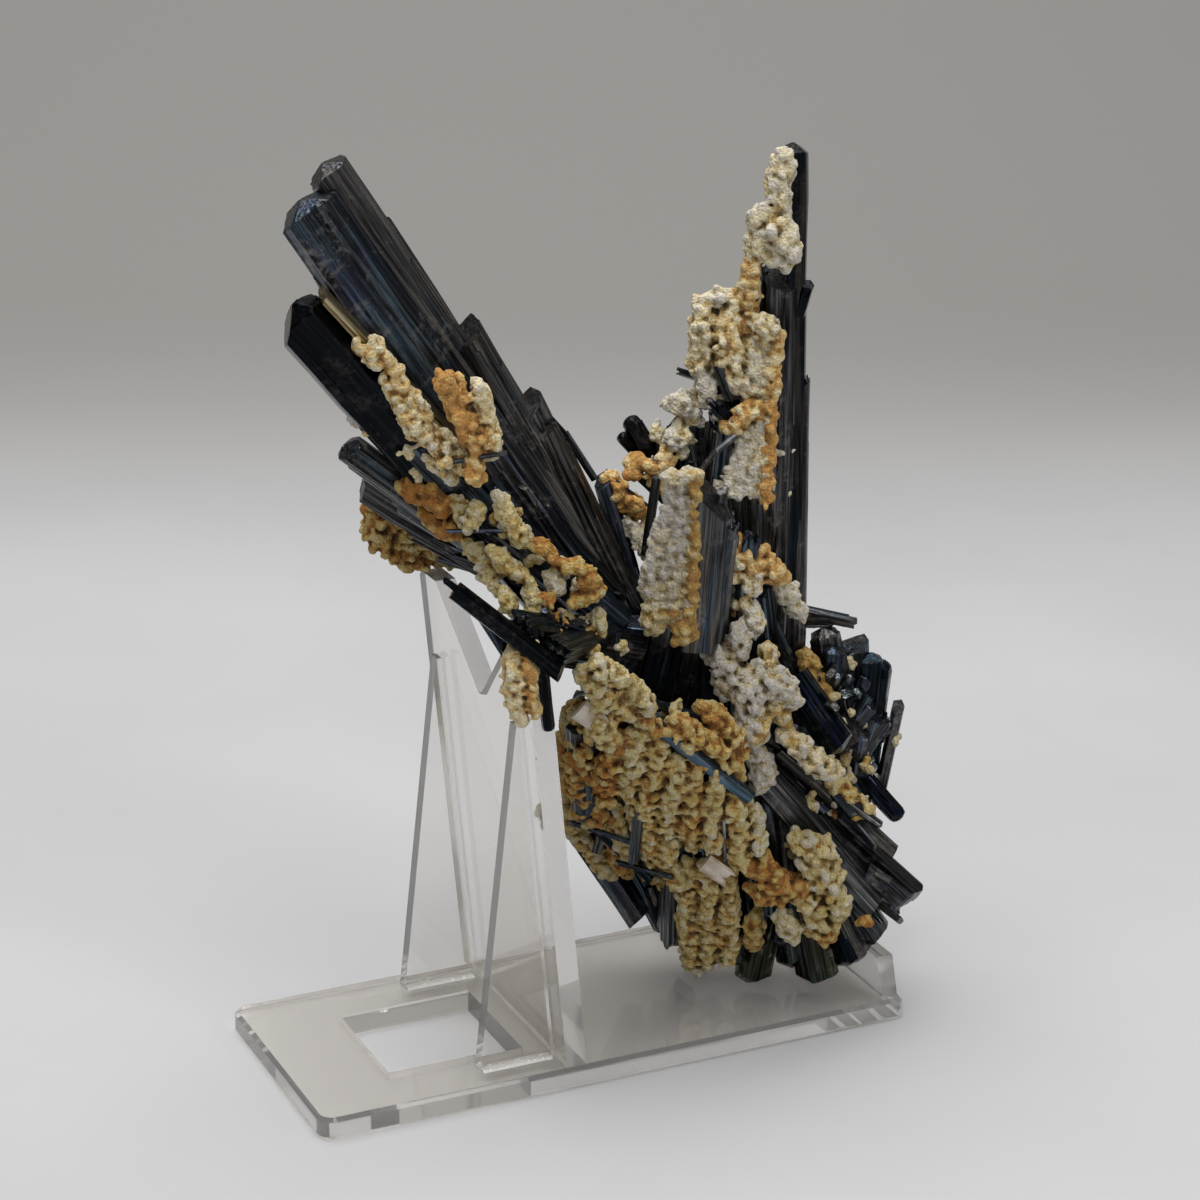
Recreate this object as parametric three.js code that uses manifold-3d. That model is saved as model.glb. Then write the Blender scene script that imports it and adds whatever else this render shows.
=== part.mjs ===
// A spray of stibnite crystals with a cream crust, leaning on a small clear acrylic easel.
// Millimetres, +Z up. The origin is the centre of the easel base's underside.
// +X runs along the base towards its front lip, +Y across it.
import * as THREE from 'three';
import { mergeVertices } from 'three/addons/utils/BufferGeometryUtils.js';
import Module from 'manifold-3d';

const wasm = await Module();
wasm.setup();

// ---- driving dimensions -------------------------------------------------------------------
const GAP = 0.3;                  // clearance that touching pieces keep
const GROOVE = 0.35;              // clearance between a crust and the crystals it coats

const BASE_LENGTH = 118;
const BASE_WIDTH = 50;
const SHEET = 4.3;                // thickness of the base sheet
const BASE_CORNER = 3;
const BASE_BEVEL = 0.7;
const LIP_CORNER = 0.5;           // corner under the lip, inside the bevel
const LIP_HEIGHT = 13.3;          // top of the lip above the floor
const LIP_THICKNESS = 3.5;
const LIP_LEAN = 2.4;             // how far the lip's top sits back from its foot

const WINDOW_BACK = 17.5;         // window in the base, measured from its rear end
const WINDOW_FRONT = 43.5;
const WINDOW_WIDTH = 25;

const BACKREST_FOOT = 47.5;       // rear face of the backrest at the base, from the rear end
const BACKREST_THICKNESS = 4;
const BACKREST_TOP = 86.3;        // top of the two prongs above the floor
const BACKREST_LEAN = 0.091;      // rearward lean, mm per mm of height
const PRONG_WIDTH = 8;            // width of each prong at its top
const PRONG_CORNER = 1.2;         // cut across each prong's outer corner
const NOTCH_BOTTOM = 70;          // bottom of the V notch above the floor
const NOTCH_HALF = 0.6;           // half the notch's width at its bottom

const GUSSET_THICKNESS = 2.8;
const GUSSET_INSET = 5;           // from each side of the base
const GUSSET_FOOT = 32.5;         // rear end of a gusset's foot, from the rear end of the base
const GUSSET_TOP = 71;
const GUSSET_TIP = 1;             // flat at a gusset's apex

const SPRAY_SEAT = 80;            // where the spray's own upright axis stands, from the rear end
const SPRAY_TURN = -24.7;         // degrees that the spray's frame is turned about that axis
const FACE_SHARE = 0.6;           // width of a crystal's broad face, of its whole width

// ---- materials ----------------------------------------------------------------------------
const acrylic = new THREE.MeshStandardMaterial({ color: 0xdfe6e6, roughness: 0.08, metalness: 0 });
const stibnite = new THREE.MeshStandardMaterial({ color: 0x23282f, roughness: 0.3, metalness: 0.9 });
const crustOchre = new THREE.MeshStandardMaterial({ color: 0xc9a65a, roughness: 0.85, metalness: 0 });
const crustWhite = new THREE.MeshStandardMaterial({ color: 0xcfc6b4, roughness: 0.85, metalness: 0 });

// ---- solids -------------------------------------------------------------------------------
function toSolid(geometry) {
  const bare = geometry.index ? geometry.clone() : mergeVertices(geometry);
  bare.deleteAttribute('normal');
  bare.deleteAttribute('uv');
  const welded = mergeVertices(bare, 1e-4);
  return new wasm.Manifold(new wasm.Mesh({
    numProp: 3,
    vertProperties: new Float32Array(welded.attributes.position.array),
    triVerts: new Uint32Array(welded.index.array),
  }));
}

function toMesh(name, solid, material) {
  const data = solid.getMesh();
  const geometry = new THREE.BufferGeometry();
  geometry.setAttribute('position', new THREE.BufferAttribute(data.vertProperties, 3));
  geometry.setIndex(new THREE.BufferAttribute(data.triVerts, 1));
  geometry.computeVertexNormals();
  const mesh = new THREE.Mesh(geometry, material);
  mesh.name = name;
  return mesh;
}

function join(solids) {
  return solids.reduce((whole, next) => whole.add(next));
}

// A slab given by its lowest and highest corners.
function slab(low, high) {
  const size = high.map((value, i) => value - low[i]);
  const middle = high.map((value, i) => (value + low[i]) / 2);
  return toSolid(new THREE.BoxGeometry(...size).translate(...middle));
}

// A plate with its outline in the X-Z plane, centred on y.
function uprightPlate(outline, thickness, y) {
  const shape = new THREE.Shape(outline.map(([x, z]) => new THREE.Vector2(x, z)));
  const geometry = new THREE.ExtrudeGeometry(shape, { depth: thickness, bevelEnabled: false });
  geometry.rotateX(Math.PI / 2);
  geometry.translate(0, y + thickness / 2, 0);
  return geometry;
}

// ---- easel --------------------------------------------------------------------------------
const rear = -BASE_LENGTH / 2;
const front = BASE_LENGTH / 2;
const side = BASE_WIDTH / 2;

// The base's plan, with larger corners at the rear than under the lip.
function basePlan(halfX, halfY, rearRadius, lipRadius) {
  const shape = new THREE.Shape();
  shape.absarc(halfX - lipRadius, halfY - lipRadius, lipRadius, 0, Math.PI / 2);
  shape.absarc(-halfX + rearRadius, halfY - rearRadius, rearRadius, Math.PI / 2, Math.PI);
  shape.absarc(-halfX + rearRadius, -halfY + rearRadius, rearRadius, Math.PI, 1.5 * Math.PI);
  shape.absarc(halfX - lipRadius, -halfY + lipRadius, lipRadius, 1.5 * Math.PI, 2 * Math.PI);
  return shape;
}

function easelBase() {
  const inner = BASE_BEVEL;
  const outline = basePlan(front - inner, side - inner, BASE_CORNER - inner, LIP_CORNER);
  const sheet = new THREE.ExtrudeGeometry(outline, {
    depth: SHEET - 2 * BASE_BEVEL,
    bevelThickness: BASE_BEVEL,
    bevelSize: BASE_BEVEL,
    bevelSegments: 1,
    curveSegments: 3,
  });
  sheet.translate(0, 0, BASE_BEVEL);
  const lip = uprightPlate([
    [front - LIP_THICKNESS, SHEET / 2],
    [front - BASE_BEVEL, SHEET / 2],
    [front - LIP_LEAN, LIP_HEIGHT],
    [front - LIP_LEAN - LIP_THICKNESS, LIP_HEIGHT],
    [front - LIP_THICKNESS - BASE_BEVEL, SHEET],
  ], BASE_WIDTH - 2 * (BASE_BEVEL + LIP_CORNER), 0);
  const window = slab(
    [rear + WINDOW_BACK, -WINDOW_WIDTH / 2, -1],
    [rear + WINDOW_FRONT, WINDOW_WIDTH / 2, SHEET + 1],
  );
  return toSolid(sheet).add(toSolid(lip)).subtract(window);
}

const backrestAt = (height) => rear + BACKREST_FOOT - BACKREST_LEAN * (height - SHEET);

// The backrest is an M-shaped plate: two prongs with a V notch between them.
function backrest() {
  const foot = SHEET + GAP;
  const rise = BACKREST_TOP - foot;
  const notch = NOTCH_BOTTOM - foot;
  const shape = new THREE.Shape([
    [-side, 0], [side, 0],
    [side, rise - PRONG_CORNER], [side - PRONG_CORNER, rise], [side - PRONG_WIDTH, rise],
    [NOTCH_HALF, notch], [-NOTCH_HALF, notch],
    [-side + PRONG_WIDTH, rise], [-side + PRONG_CORNER, rise], [-side, rise - PRONG_CORNER],
  ].map(([y, z]) => new THREE.Vector2(y, z)));
  const geometry = new THREE.ExtrudeGeometry(shape, {
    depth: BACKREST_THICKNESS, bevelEnabled: false,
  });
  geometry.rotateX(Math.PI / 2);
  geometry.rotateZ(Math.PI / 2);
  const lean = new THREE.Matrix4().makeShear(0, 0, 0, 0, -BACKREST_LEAN, 0);
  geometry.applyMatrix4(lean);
  geometry.translate(backrestAt(foot), 0, foot);
  return toSolid(geometry);
}

function gusset(y) {
  const foot = SHEET + GAP;
  return toSolid(uprightPlate([
    [rear + GUSSET_FOOT, foot],
    [backrestAt(foot) - GAP, foot],
    [backrestAt(GUSSET_TOP) - GAP, GUSSET_TOP],
    [backrestAt(GUSSET_TOP) - GAP - GUSSET_TIP, GUSSET_TOP],
  ], GUSSET_THICKNESS, y));
}

// ---- the spray's own frame ----------------------------------------------------------------
// Its x runs along the fan of crystals, from the long arm to the spire, y across the fan.
const seat = new THREE.Matrix4()
  .makeRotationZ(THREE.MathUtils.degToRad(SPRAY_TURN))
  .setPosition(rear + SPRAY_SEAT, 0, 0);

// A crystal from foot to tip: a flattened six-sided bar, wide along the fan when roll is 0.
// slant cuts the tip askew, in mm across the whole width.
function crystal(foot, tip, wide, thick, roll = 0, slant = 0) {
  const start = new THREE.Vector3(...foot);
  const along = new THREE.Vector3(...tip).sub(start);
  const length = along.length();
  along.normalize();
  const across = new THREE.Vector3().crossVectors(along, new THREE.Vector3(0, 1, 0)).normalize();
  across.applyAxisAngle(along, THREE.MathUtils.degToRad(roll));
  const frame = new THREE.Matrix4()
    .makeBasis(across, new THREE.Vector3().crossVectors(along, across), along)
    .setPosition(start);
  return (grow) => {
    const a = wide / 2 + grow;
    const b = thick / 2 + grow;
    const c = FACE_SHARE * a;
    const outline = new THREE.Shape([
      [a, 0], [c, b], [-c, b], [-a, 0], [-c, -b], [c, -b],
    ].map(([x, y]) => new THREE.Vector2(x, y)));
    const bar = new THREE.ExtrudeGeometry(outline, {
      depth: length + 2 * grow, bevelEnabled: false,
    });
    const points = bar.attributes.position;
    for (let i = 0; i < points.count; i += 1) {
      if (points.getZ(i) > length / 2) {
        const drop = Math.abs(slant) * (0.5 + 0.5 * Math.sign(slant) * points.getX(i) / a);
        points.setZ(i, points.getZ(i) - drop);
      }
    }
    bar.translate(0, 0, -grow);
    return toSolid(bar.applyMatrix4(frame).applyMatrix4(seat));
  };
}

// A rod of crust: a round-ended bar between two points.
function crustRod(from, to, radius) {
  const start = new THREE.Vector3(...from);
  const along = new THREE.Vector3(...to).sub(start);
  const middle = start.clone().addScaledVector(along, 0.5);
  const turn = new THREE.Quaternion()
    .setFromUnitVectors(new THREE.Vector3(0, 1, 0), along.clone().normalize());
  const frame = new THREE.Matrix4().compose(middle, turn, new THREE.Vector3(1, 1, 1));
  return (grow) => {
    const bar = new THREE.CapsuleGeometry(radius + grow, along.length(), 2, 6);
    return toSolid(bar.applyMatrix4(frame).applyMatrix4(seat));
  };
}

// A run of crust through several points.
function crustRun(points, radius) {
  return points.slice(1).map((point, i) => crustRod(points[i], point, radius));
}

// Everything that the spray must stay clear of: the base, its lip and the backrest's prongs.
let taken = join([
  slab([rear - 5, -side - 40, -5], [front + 5, side + 40, SHEET + GAP]),
  slab(
    [front - LIP_LEAN - LIP_THICKNESS - GAP, -side, 0],
    [front + GAP, side, LIP_HEIGHT + GAP],
  ),
  toSolid(uprightPlate([
    [backrestAt(50) - GAP, 50],
    [backrestAt(50) + BACKREST_THICKNESS + GAP, 50],
    [backrestAt(BACKREST_TOP) + BACKREST_THICKNESS + GAP, BACKREST_TOP + GAP],
    [backrestAt(BACKREST_TOP) - GAP, BACKREST_TOP + GAP],
  ], BASE_WIDTH + 2 * GAP, 0)),
]);

const object = new THREE.Group();

// Adds one grown-together cluster, cut back from everything placed before it.
function place(name, material, forms, clearance = GAP) {
  const solid = join(forms.map((form) => form(0))).subtract(taken);
  taken = taken.add(join(forms.map((form) => form(clearance))));
  object.add(toMesh(name, solid, material));
}

object.add(
  toMesh('easel_base', easelBase(), acrylic),
  toMesh('easel_backrest', backrest(), acrylic),
  toMesh('easel_gusset_near', gusset(-side + GUSSET_INSET + GUSSET_THICKNESS / 2), acrylic),
  toMesh('easel_gusset_far', gusset(side - GUSSET_INSET - GUSSET_THICKNESS / 2), acrylic),
);

// ---- crystals -----------------------------------------------------------------------------
place('arm_blades', stibnite, [
  crystal([-4, -6, 77], [-60.5, -27, 171], 9.5, 7, 0, -2),
  crystal([-7, -9, 77], [-61.5, -30, 163], 10, 7.5, 12, -3),
  crystal([-9, -12, 76], [-57, -26, 144], 8, 7, -8, 2),
  crystal([0, -2, 75], [-28, -8, 121], 9, 8, 10, 3),
  crystal([-6, 2, 78], [-46, -6, 126], 8, 7, 0, -3),
  crystal([-12, 2, 82], [-50, 4, 101], 7, 6, 0, -2),
]);

place('arm_lower_prisms', stibnite, [
  crystal([-20, -15, 86], [-66.5, -34, 147], 10.5, 8, 0, 3),
  crystal([-20, -18, 88], [-53, -24, 127], 4, 4, 0, 1),
  crystal([-20, -12, 85], [-60, -18, 119], 6, 6, 15, 3),
  crystal([-19, -9, 83], [-57, -8, 110], 6, 6, 0, 2),
]);

place('near_shoulder_rods', stibnite, [
  crystal([-8, -16, 78], [-29, -41, 91], 11, 8, 0, 3),
  crystal([-20, -44, 86], [-38, -42, 99], 3.4, 3.4, 0, 1),
  crystal([-23, -40, 92], [-22, -42, 73], 2.8, 2.8, 0, 0.5),
  crystal([-12, -22, 84], [-21, -44, 88], 5, 5, 0, 1),
]);

place('spire_blades', stibnite, [
  crystal([21, 6, 66], [21, 2, 167.5], 5, 6, 0, -1.5),
  crystal([18, 6, 66], [19.5, 2, 143], 7, 7, 0, 2),
  crystal([14, 5, 70], [15, 1, 132], 5, 5, 20, 1),
  crystal([12, 5, 70], [8, 2, 128], 5, 4, 0, 1),
]);

place('centre_prism', stibnite, [
  crystal([3, -15, 82], [5, -26, 114], 11, 8, 0, -6),
  crystal([-2, -17, 90], [-3, -27, 112], 2.5, 4, 0, 1),
]);

place('sprig_prisms', stibnite, [
  crystal([5, 0, 86], [-7, -2, 118], 4, 4, 0, 1),
  crystal([5, -2, 86], [9, -8, 118], 4.5, 4, 0, 2),
  crystal([4, 1, 86], [-1, 0, 120], 5, 5, 0, 1),
]);

place('root_cluster', stibnite, [
  crystal([2, -6, 80], [-12, 2, 32], 16, 22, 0, 4),
  crystal([6, 2, 82], [5, 4, 12], 18, 26, 0, 4),
  crystal([12, 4, 80], [22, 4, 14], 18, 24, 0, 3),
  crystal([14, 6, 74], [36, 6, 34], 16, 18, 0, 4),
  crystal([-2, -10, 78], [-10, -22, 56], 14, 14, 0, 4),
  crystal([12, -8, 66], [33, -10, 55], 7.5, 7, 0, 3),
  crystal([14, -9, 54], [40, -8, 22], 9, 8, 0, 3),
  crystal([14, -2, 52], [47, 0, 19], 9, 8, 0, 3),
  crystal([16, -1, 50], [37, -2, 9], 8, 8, 0, 2),
  crystal([26, 8, 44], [31, 4, 76], 6, 7, 0, 2),
  crystal([30, 11, 40], [39, 10, 67], 9, 7, 0, 2),
  crystal([38, 10, 36], [44, 9, 54], 4, 7, 0, 1),
  crystal([20, 8, 74], [35, 6, 75], 3.5, 4, 0, 1),
  crystal([15, 3, 30], [19, -2, 4], 7, 7, 0, 2),
  crystal([22, 2, 30], [30, -4, 4], 9, 8, 0, -2),
  crystal([6, 10, 34], [-5, 18, 7], 4.5, 4.5, 0, 1),
  crystal([14, 10, 34], [12, 22, 4], 11, 8, 0, 2),
]);

// ---- crust --------------------------------------------------------------------------------
place('crust_arm_rows', crustOchre, [
  ...crustRun([[-54, -29, 139], [-46, -29, 126], [-40, -28, 112]], 2.4),
  crustRod([-49, -31, 138], [-43, -30, 126], 2.4),
  crustRod([-41, -32, 133], [-35, -29, 120], 3),
  crustRod([-33, -31, 130], [-31, -29, 121], 2.2),
  crustRod([-44, -29, 124], [-31, -28, 120], 2.6),
], GROOVE);

place('crust_arm_underside', crustOchre, [
  ...crustRun([[-53, 0, 99], [-49, 3, 93], [-43, 6, 88.5], [-36, 8, 89]], 3.4),
], GROOVE);

place('crust_arm_mass', crustOchre, [
  ...crustRun([[-46, -24, 112], [-38, -26, 107], [-29, -28, 108]], 3),
  ...crustRun([[-29, -28, 108], [-24, -33, 95], [-16, -30, 88]], 4.5),
  crustRod([-24, -32, 96], [-14, -26, 95], 4),
], GROOVE);

place('crust_near_rods', crustOchre, [
  crustRod([-28, -43, 88], [-26.5, -43, 75], 2.1),
  crustRod([-25, -44, 87], [-24.5, -44, 77], 1.5),
], GROOVE);

place('crust_spire', crustOchre, [
  ...crustRun([[17.5, -2, 165.5], [17, -2, 156], [14, -2, 149], [11, -1, 138]], 2.8),
  crustRod([17, -2, 156], [20.5, -4, 148], 3.2),
  ...crustRun([[8, -1, 137], [8, -1, 127]], 3),
  ...crustRun([[11, -1, 138], [10, -2, 126], [13, -4, 114]], 3.6),
  ...crustRun([[16, -5, 133], [15, -6, 118], [12, -6, 106]], 3.4),
], GROOVE);

place('crust_sprig_cluster', crustOchre, [
  ...crustRun([[-7, -5, 111], [-3, -6, 107], [0, -6, 101]], 3),
], GROOVE);

place('crust_sprig_rod', crustOchre, [
  crustRod([-12, -9, 107], [-5, -8, 98], 2.3),
], GROOVE);

place('crust_centre_face', crustWhite, [
  crystal([-4, -20, 86], [-1, -29, 113], 9, 5, 0, 1),
], GROOVE);

place('crust_spire_foot', crustOchre, [
  ...crustRun([[12, -4, 93], [15, -6, 89], [19, -6, 87]], 3),
], GROOVE);

place('crust_white_mass', crustWhite, [
  ...crustRun([[10, -14, 79], [15, -17, 72], [17, -18, 62], [14, -16, 53]], 4.2),
  crustRod([18, -17, 66], [28, -14, 57], 2.8),
], GROOVE);

place('crust_lobe', crustOchre, [
  ...crustRun([[19, -14, 37], [27, -15, 35], [32, -13, 29], [28, -11, 22]], 4),
  crustRod([19, -13, 34], [22, -11, 23], 4),
], GROOVE);

const CURTAIN_COLUMNS = 6;
const curtain = [];
for (let i = 0; i < CURTAIN_COLUMNS; i += 1) {
  const t = i / (CURTAIN_COLUMNS - 1);
  const top = [-17 + 29 * t, -35 + 17 * t, 82 - 26 * t];
  const bottom = [-10 + 23 * t, -17 + 2 * t, 44 - 10 * t];
  curtain.push(crustRod(top, bottom, 4.5));
}
place('crust_curtain', crustOchre, curtain, GROOVE);

place('crust_hanging_column', crustOchre, [
  crustRod([5, -12, 34], [5, -2, 9], 3.2),
  crustRod([9, -12, 34], [10, -3, 11], 3.2),
  crustRod([14, -12, 31], [16, -4, 14], 2.6),
], GROOVE);

place('crust_left_flank', crustOchre, [
  ...crustRun([[-19, -26, 68], [-19, -16, 52], [-17, -9, 41]], 4.4),
  ...crustRun([[-17, -8, 66], [-20, 0, 52], [-19, -14, 52]], 5),
], GROOVE);

export default object;
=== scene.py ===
"""Looks of a stibnite crystal spray that leans on a small clear acrylic easel.

The sub-assemblies are sized in millimetres in the spray's own frame: x runs along the fan of
crystals, y across it, z up, from the spray's seat on the easel. Blender works in metres.
"""

import logging
import math
from collections.abc import Callable
from dataclasses import dataclass, field
from enum import Enum
from typing import ClassVar

import bpy
import numpy as np
from mathutils import Matrix, Vector


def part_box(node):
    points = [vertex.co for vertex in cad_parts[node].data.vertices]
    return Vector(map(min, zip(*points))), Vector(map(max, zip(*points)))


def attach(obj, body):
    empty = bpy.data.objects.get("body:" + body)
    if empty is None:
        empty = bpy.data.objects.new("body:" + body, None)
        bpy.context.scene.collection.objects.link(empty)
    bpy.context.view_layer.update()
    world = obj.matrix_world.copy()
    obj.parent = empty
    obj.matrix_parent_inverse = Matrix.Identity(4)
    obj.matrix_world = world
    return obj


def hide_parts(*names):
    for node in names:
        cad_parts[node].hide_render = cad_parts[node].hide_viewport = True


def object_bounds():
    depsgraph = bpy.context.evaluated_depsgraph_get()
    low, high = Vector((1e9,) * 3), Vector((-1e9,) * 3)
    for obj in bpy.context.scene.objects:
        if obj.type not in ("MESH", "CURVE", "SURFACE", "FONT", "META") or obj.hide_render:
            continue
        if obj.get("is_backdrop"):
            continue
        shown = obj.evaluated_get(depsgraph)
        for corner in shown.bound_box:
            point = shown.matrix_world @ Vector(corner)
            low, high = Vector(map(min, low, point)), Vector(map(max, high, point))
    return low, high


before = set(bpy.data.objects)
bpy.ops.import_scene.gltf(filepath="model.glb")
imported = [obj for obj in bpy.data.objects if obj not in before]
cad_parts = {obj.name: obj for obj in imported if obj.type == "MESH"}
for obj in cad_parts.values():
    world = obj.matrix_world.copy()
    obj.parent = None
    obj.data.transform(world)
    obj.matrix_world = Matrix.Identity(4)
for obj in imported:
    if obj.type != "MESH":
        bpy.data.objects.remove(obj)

LOG = logging.getLogger("spray")
MM = 0.001
BODY = "root"
Point = tuple[float, float, float]


# ---- colour and node helpers --------------------------------------------------------------
def linear(hex_colour: str) -> tuple[float, float, float, float]:
    """Turn an sRGB hex colour into Blender's linear RGBA.

    Args:
        hex_colour: the colour as "rrggbb".

    Returns:
        The linear red, green and blue, and an alpha of 1.
    """
    parts = [int(hex_colour[i:i + 2], 16) / 255 for i in (0, 2, 4)]
    lin = [c / 12.92 if c <= 0.04045 else ((c + 0.055) / 1.055) ** 2.4 for c in parts]
    return (lin[0], lin[1], lin[2], 1.0)


def add_node(material: bpy.types.Material, kind: str, settings: dict | None = None,
             links: dict | None = None) -> bpy.types.Node:
    """Add a shader node with its settings and its incoming links.

    Args:
        material: the material whose tree takes the node.
        kind: the node's type, such as "ShaderNodeTexNoise".
        settings: attribute names or input names, with their values. "stops" lists a colour
            ramp's places, each with its sRGB hex colour.
        links: input names or indexes, with the output sockets that feed them.

    Returns:
        The new node.
    """
    node = material.node_tree.nodes.new(kind)
    for key, value in (settings or {}).items():
        if key == "stops":
            elements = node.color_ramp.elements
            while len(elements) < len(value):
                elements.new(0.5)
            for element, (place, colour) in zip(elements, value):
                element.position = place
                element.color = linear(colour)
        elif isinstance(key, int) or key in node.inputs:
            node.inputs[key].default_value = value
        else:
            setattr(node, key, value)
    for key, socket in (links or {}).items():
        material.node_tree.links.new(socket, node.inputs[key])
    return node


def new_material(name: str) -> bpy.types.Material:
    """Make a material whose node tree is still empty.

    Args:
        name: the material's name.

    Returns:
        The new material.
    """
    material = bpy.data.materials.new(name)
    material.use_nodes = True
    material.node_tree.nodes.clear()
    return material


# ---- finishes -----------------------------------------------------------------------------
@dataclass(frozen=True)
class StriatedStibnite:
    """Antimony sulphide crystal, grown with fine striae along its length.

    Its near-black metallic faces carry grey and bronze streaks with teal and violet tarnish,
    which run with the striae and change from blade to blade, and pale grit lies in patches.

    stria_mm and grit_mm are drawn coarser than the real ones, which are too fine to show.
    tarnish is how far the tarnish covers the steel, and dusting how thick the grit lies.
    """

    name: str = "striated_stibnite"
    base: str = "36373a"
    dark: str = "0c0c0e"
    sheen: str = "8f8f91"
    bronze: str = "50483d"
    teal: str = "1b4657"
    violet: str = "26305a"
    dust: str = "8f8b84"
    roughness: float = 0.26
    stria_mm: float = 0.6
    grit_mm: float = 1.6
    patch_mm: float = 8.0
    groove_mm: float = 0.15
    tarnish: float = 0.7
    dusting: float = 0.45

    def make(self) -> bpy.types.Material:
        """Build the material.

        Returns:
            The new material.
        """
        mat = new_material(self.name)
        place = add_node(mat, "ShaderNodeTexCoord").outputs["Object"]
        grain = add_node(mat, "ShaderNodeAttribute", {"attribute_name": "grain"})
        tint = add_node(mat, "ShaderNodeAttribute", {"attribute_name": "tint"})
        # Streaks a stria wide run the crystal's length, with broader bands of tarnish.
        fine = add_node(mat, "ShaderNodeMapping",
                        {"Scale": (1 / self.stria_mm, 1 / self.stria_mm, 0.05)},
                        {"Vector": grain.outputs["Vector"]})
        streak = add_node(mat, "ShaderNodeTexNoise",
                          {"Scale": 1.0, "Detail": 4.0, "Roughness": 0.65},
                          {"Vector": fine.outputs["Vector"]})
        broad = add_node(mat, "ShaderNodeMapping", {"Scale": (0.4, 0.4, 0.03)},
                         {"Vector": grain.outputs["Vector"]})
        band = add_node(mat, "ShaderNodeTexNoise", {"Scale": 1.0, "Detail": 3.0},
                        {"Vector": broad.outputs["Vector"]})
        steel = add_node(mat, "ShaderNodeValToRGB", {"stops": [
            (0.34, self.dark), (0.50, self.base), (0.70, self.sheen),
        ]}, {"Fac": streak.outputs["Fac"]})
        hue = add_node(mat, "ShaderNodeMath", {"operation": "ADD"},
                       {0: band.outputs["Fac"], 1: tint.outputs["Fac"]})
        tarnish = add_node(mat, "ShaderNodeValToRGB", {"stops": [
            (0.30, self.base), (0.50, self.bronze), (0.66, self.base),
            (0.80, self.teal), (0.88, self.violet), (0.96, self.base),
        ]}, {"Fac": hue.outputs[0]})
        cover = add_node(mat, "ShaderNodeMapRange",
                         {"From Min": 0.40, "From Max": 0.60, "To Max": self.tarnish},
                         {"Value": streak.outputs["Fac"]})
        colour = add_node(mat, "ShaderNodeMix", {"data_type": "RGBA"},
                          {0: cover.outputs[0], 6: steel.outputs["Color"],
                           7: tarnish.outputs["Color"]})
        # The bright streaks are the smooth ones.
        rough = add_node(mat, "ShaderNodeMapRange",
                         {"From Min": 0.3, "From Max": 0.7,
                          "To Min": self.roughness + 0.16, "To Max": self.roughness - 0.08},
                         {"Value": streak.outputs["Fac"]})
        # Grit lies in patches, and hides the metal where it does.
        grit = add_node(mat, "ShaderNodeTexNoise",
                        {"Scale": 1 / (self.grit_mm * MM), "Detail": 6.0, "Roughness": 0.75},
                        {"Vector": place})
        patch = add_node(mat, "ShaderNodeTexNoise",
                         {"Scale": 1 / (self.patch_mm * MM), "Detail": 2.0},
                         {"Vector": place})
        strewn = add_node(mat, "ShaderNodeMapRange",
                          {"From Min": 0.42, "From Max": 0.62,
                           "To Min": -0.24, "To Max": -0.06},
                          {"Value": patch.outputs["Fac"]})
        lying = add_node(mat, "ShaderNodeMath", {"operation": "ADD"},
                         {0: grit.outputs["Fac"], 1: strewn.outputs[0]})
        dusty = add_node(mat, "ShaderNodeMapRange",
                         {"From Min": 0.40, "From Max": 0.62, "To Max": self.dusting},
                         {"Value": lying.outputs[0]})
        strewn_colour = add_node(mat, "ShaderNodeMix",
                                 {"data_type": "RGBA", 7: linear(self.dust)},
                                 {0: dusty.outputs[0], 6: colour.outputs[2]})
        metal = add_node(mat, "ShaderNodeMapRange", {"To Min": 0.9, "To Max": 0.0},
                         {"Value": dusty.outputs[0]})
        bump = add_node(mat, "ShaderNodeBump",
                        {"Strength": 0.6, "Distance": self.groove_mm * MM},
                        {"Height": streak.outputs["Fac"]})
        shader = add_node(mat, "ShaderNodeBsdfPrincipled", None,
                          {"Base Color": strewn_colour.outputs[2], "Metallic": metal.outputs[0],
                           "Roughness": rough.outputs[0], "Normal": bump.outputs[0]})
        add_node(mat, "ShaderNodeOutputMaterial", None, {"Surface": shader.outputs[0]})
        return mat


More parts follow.
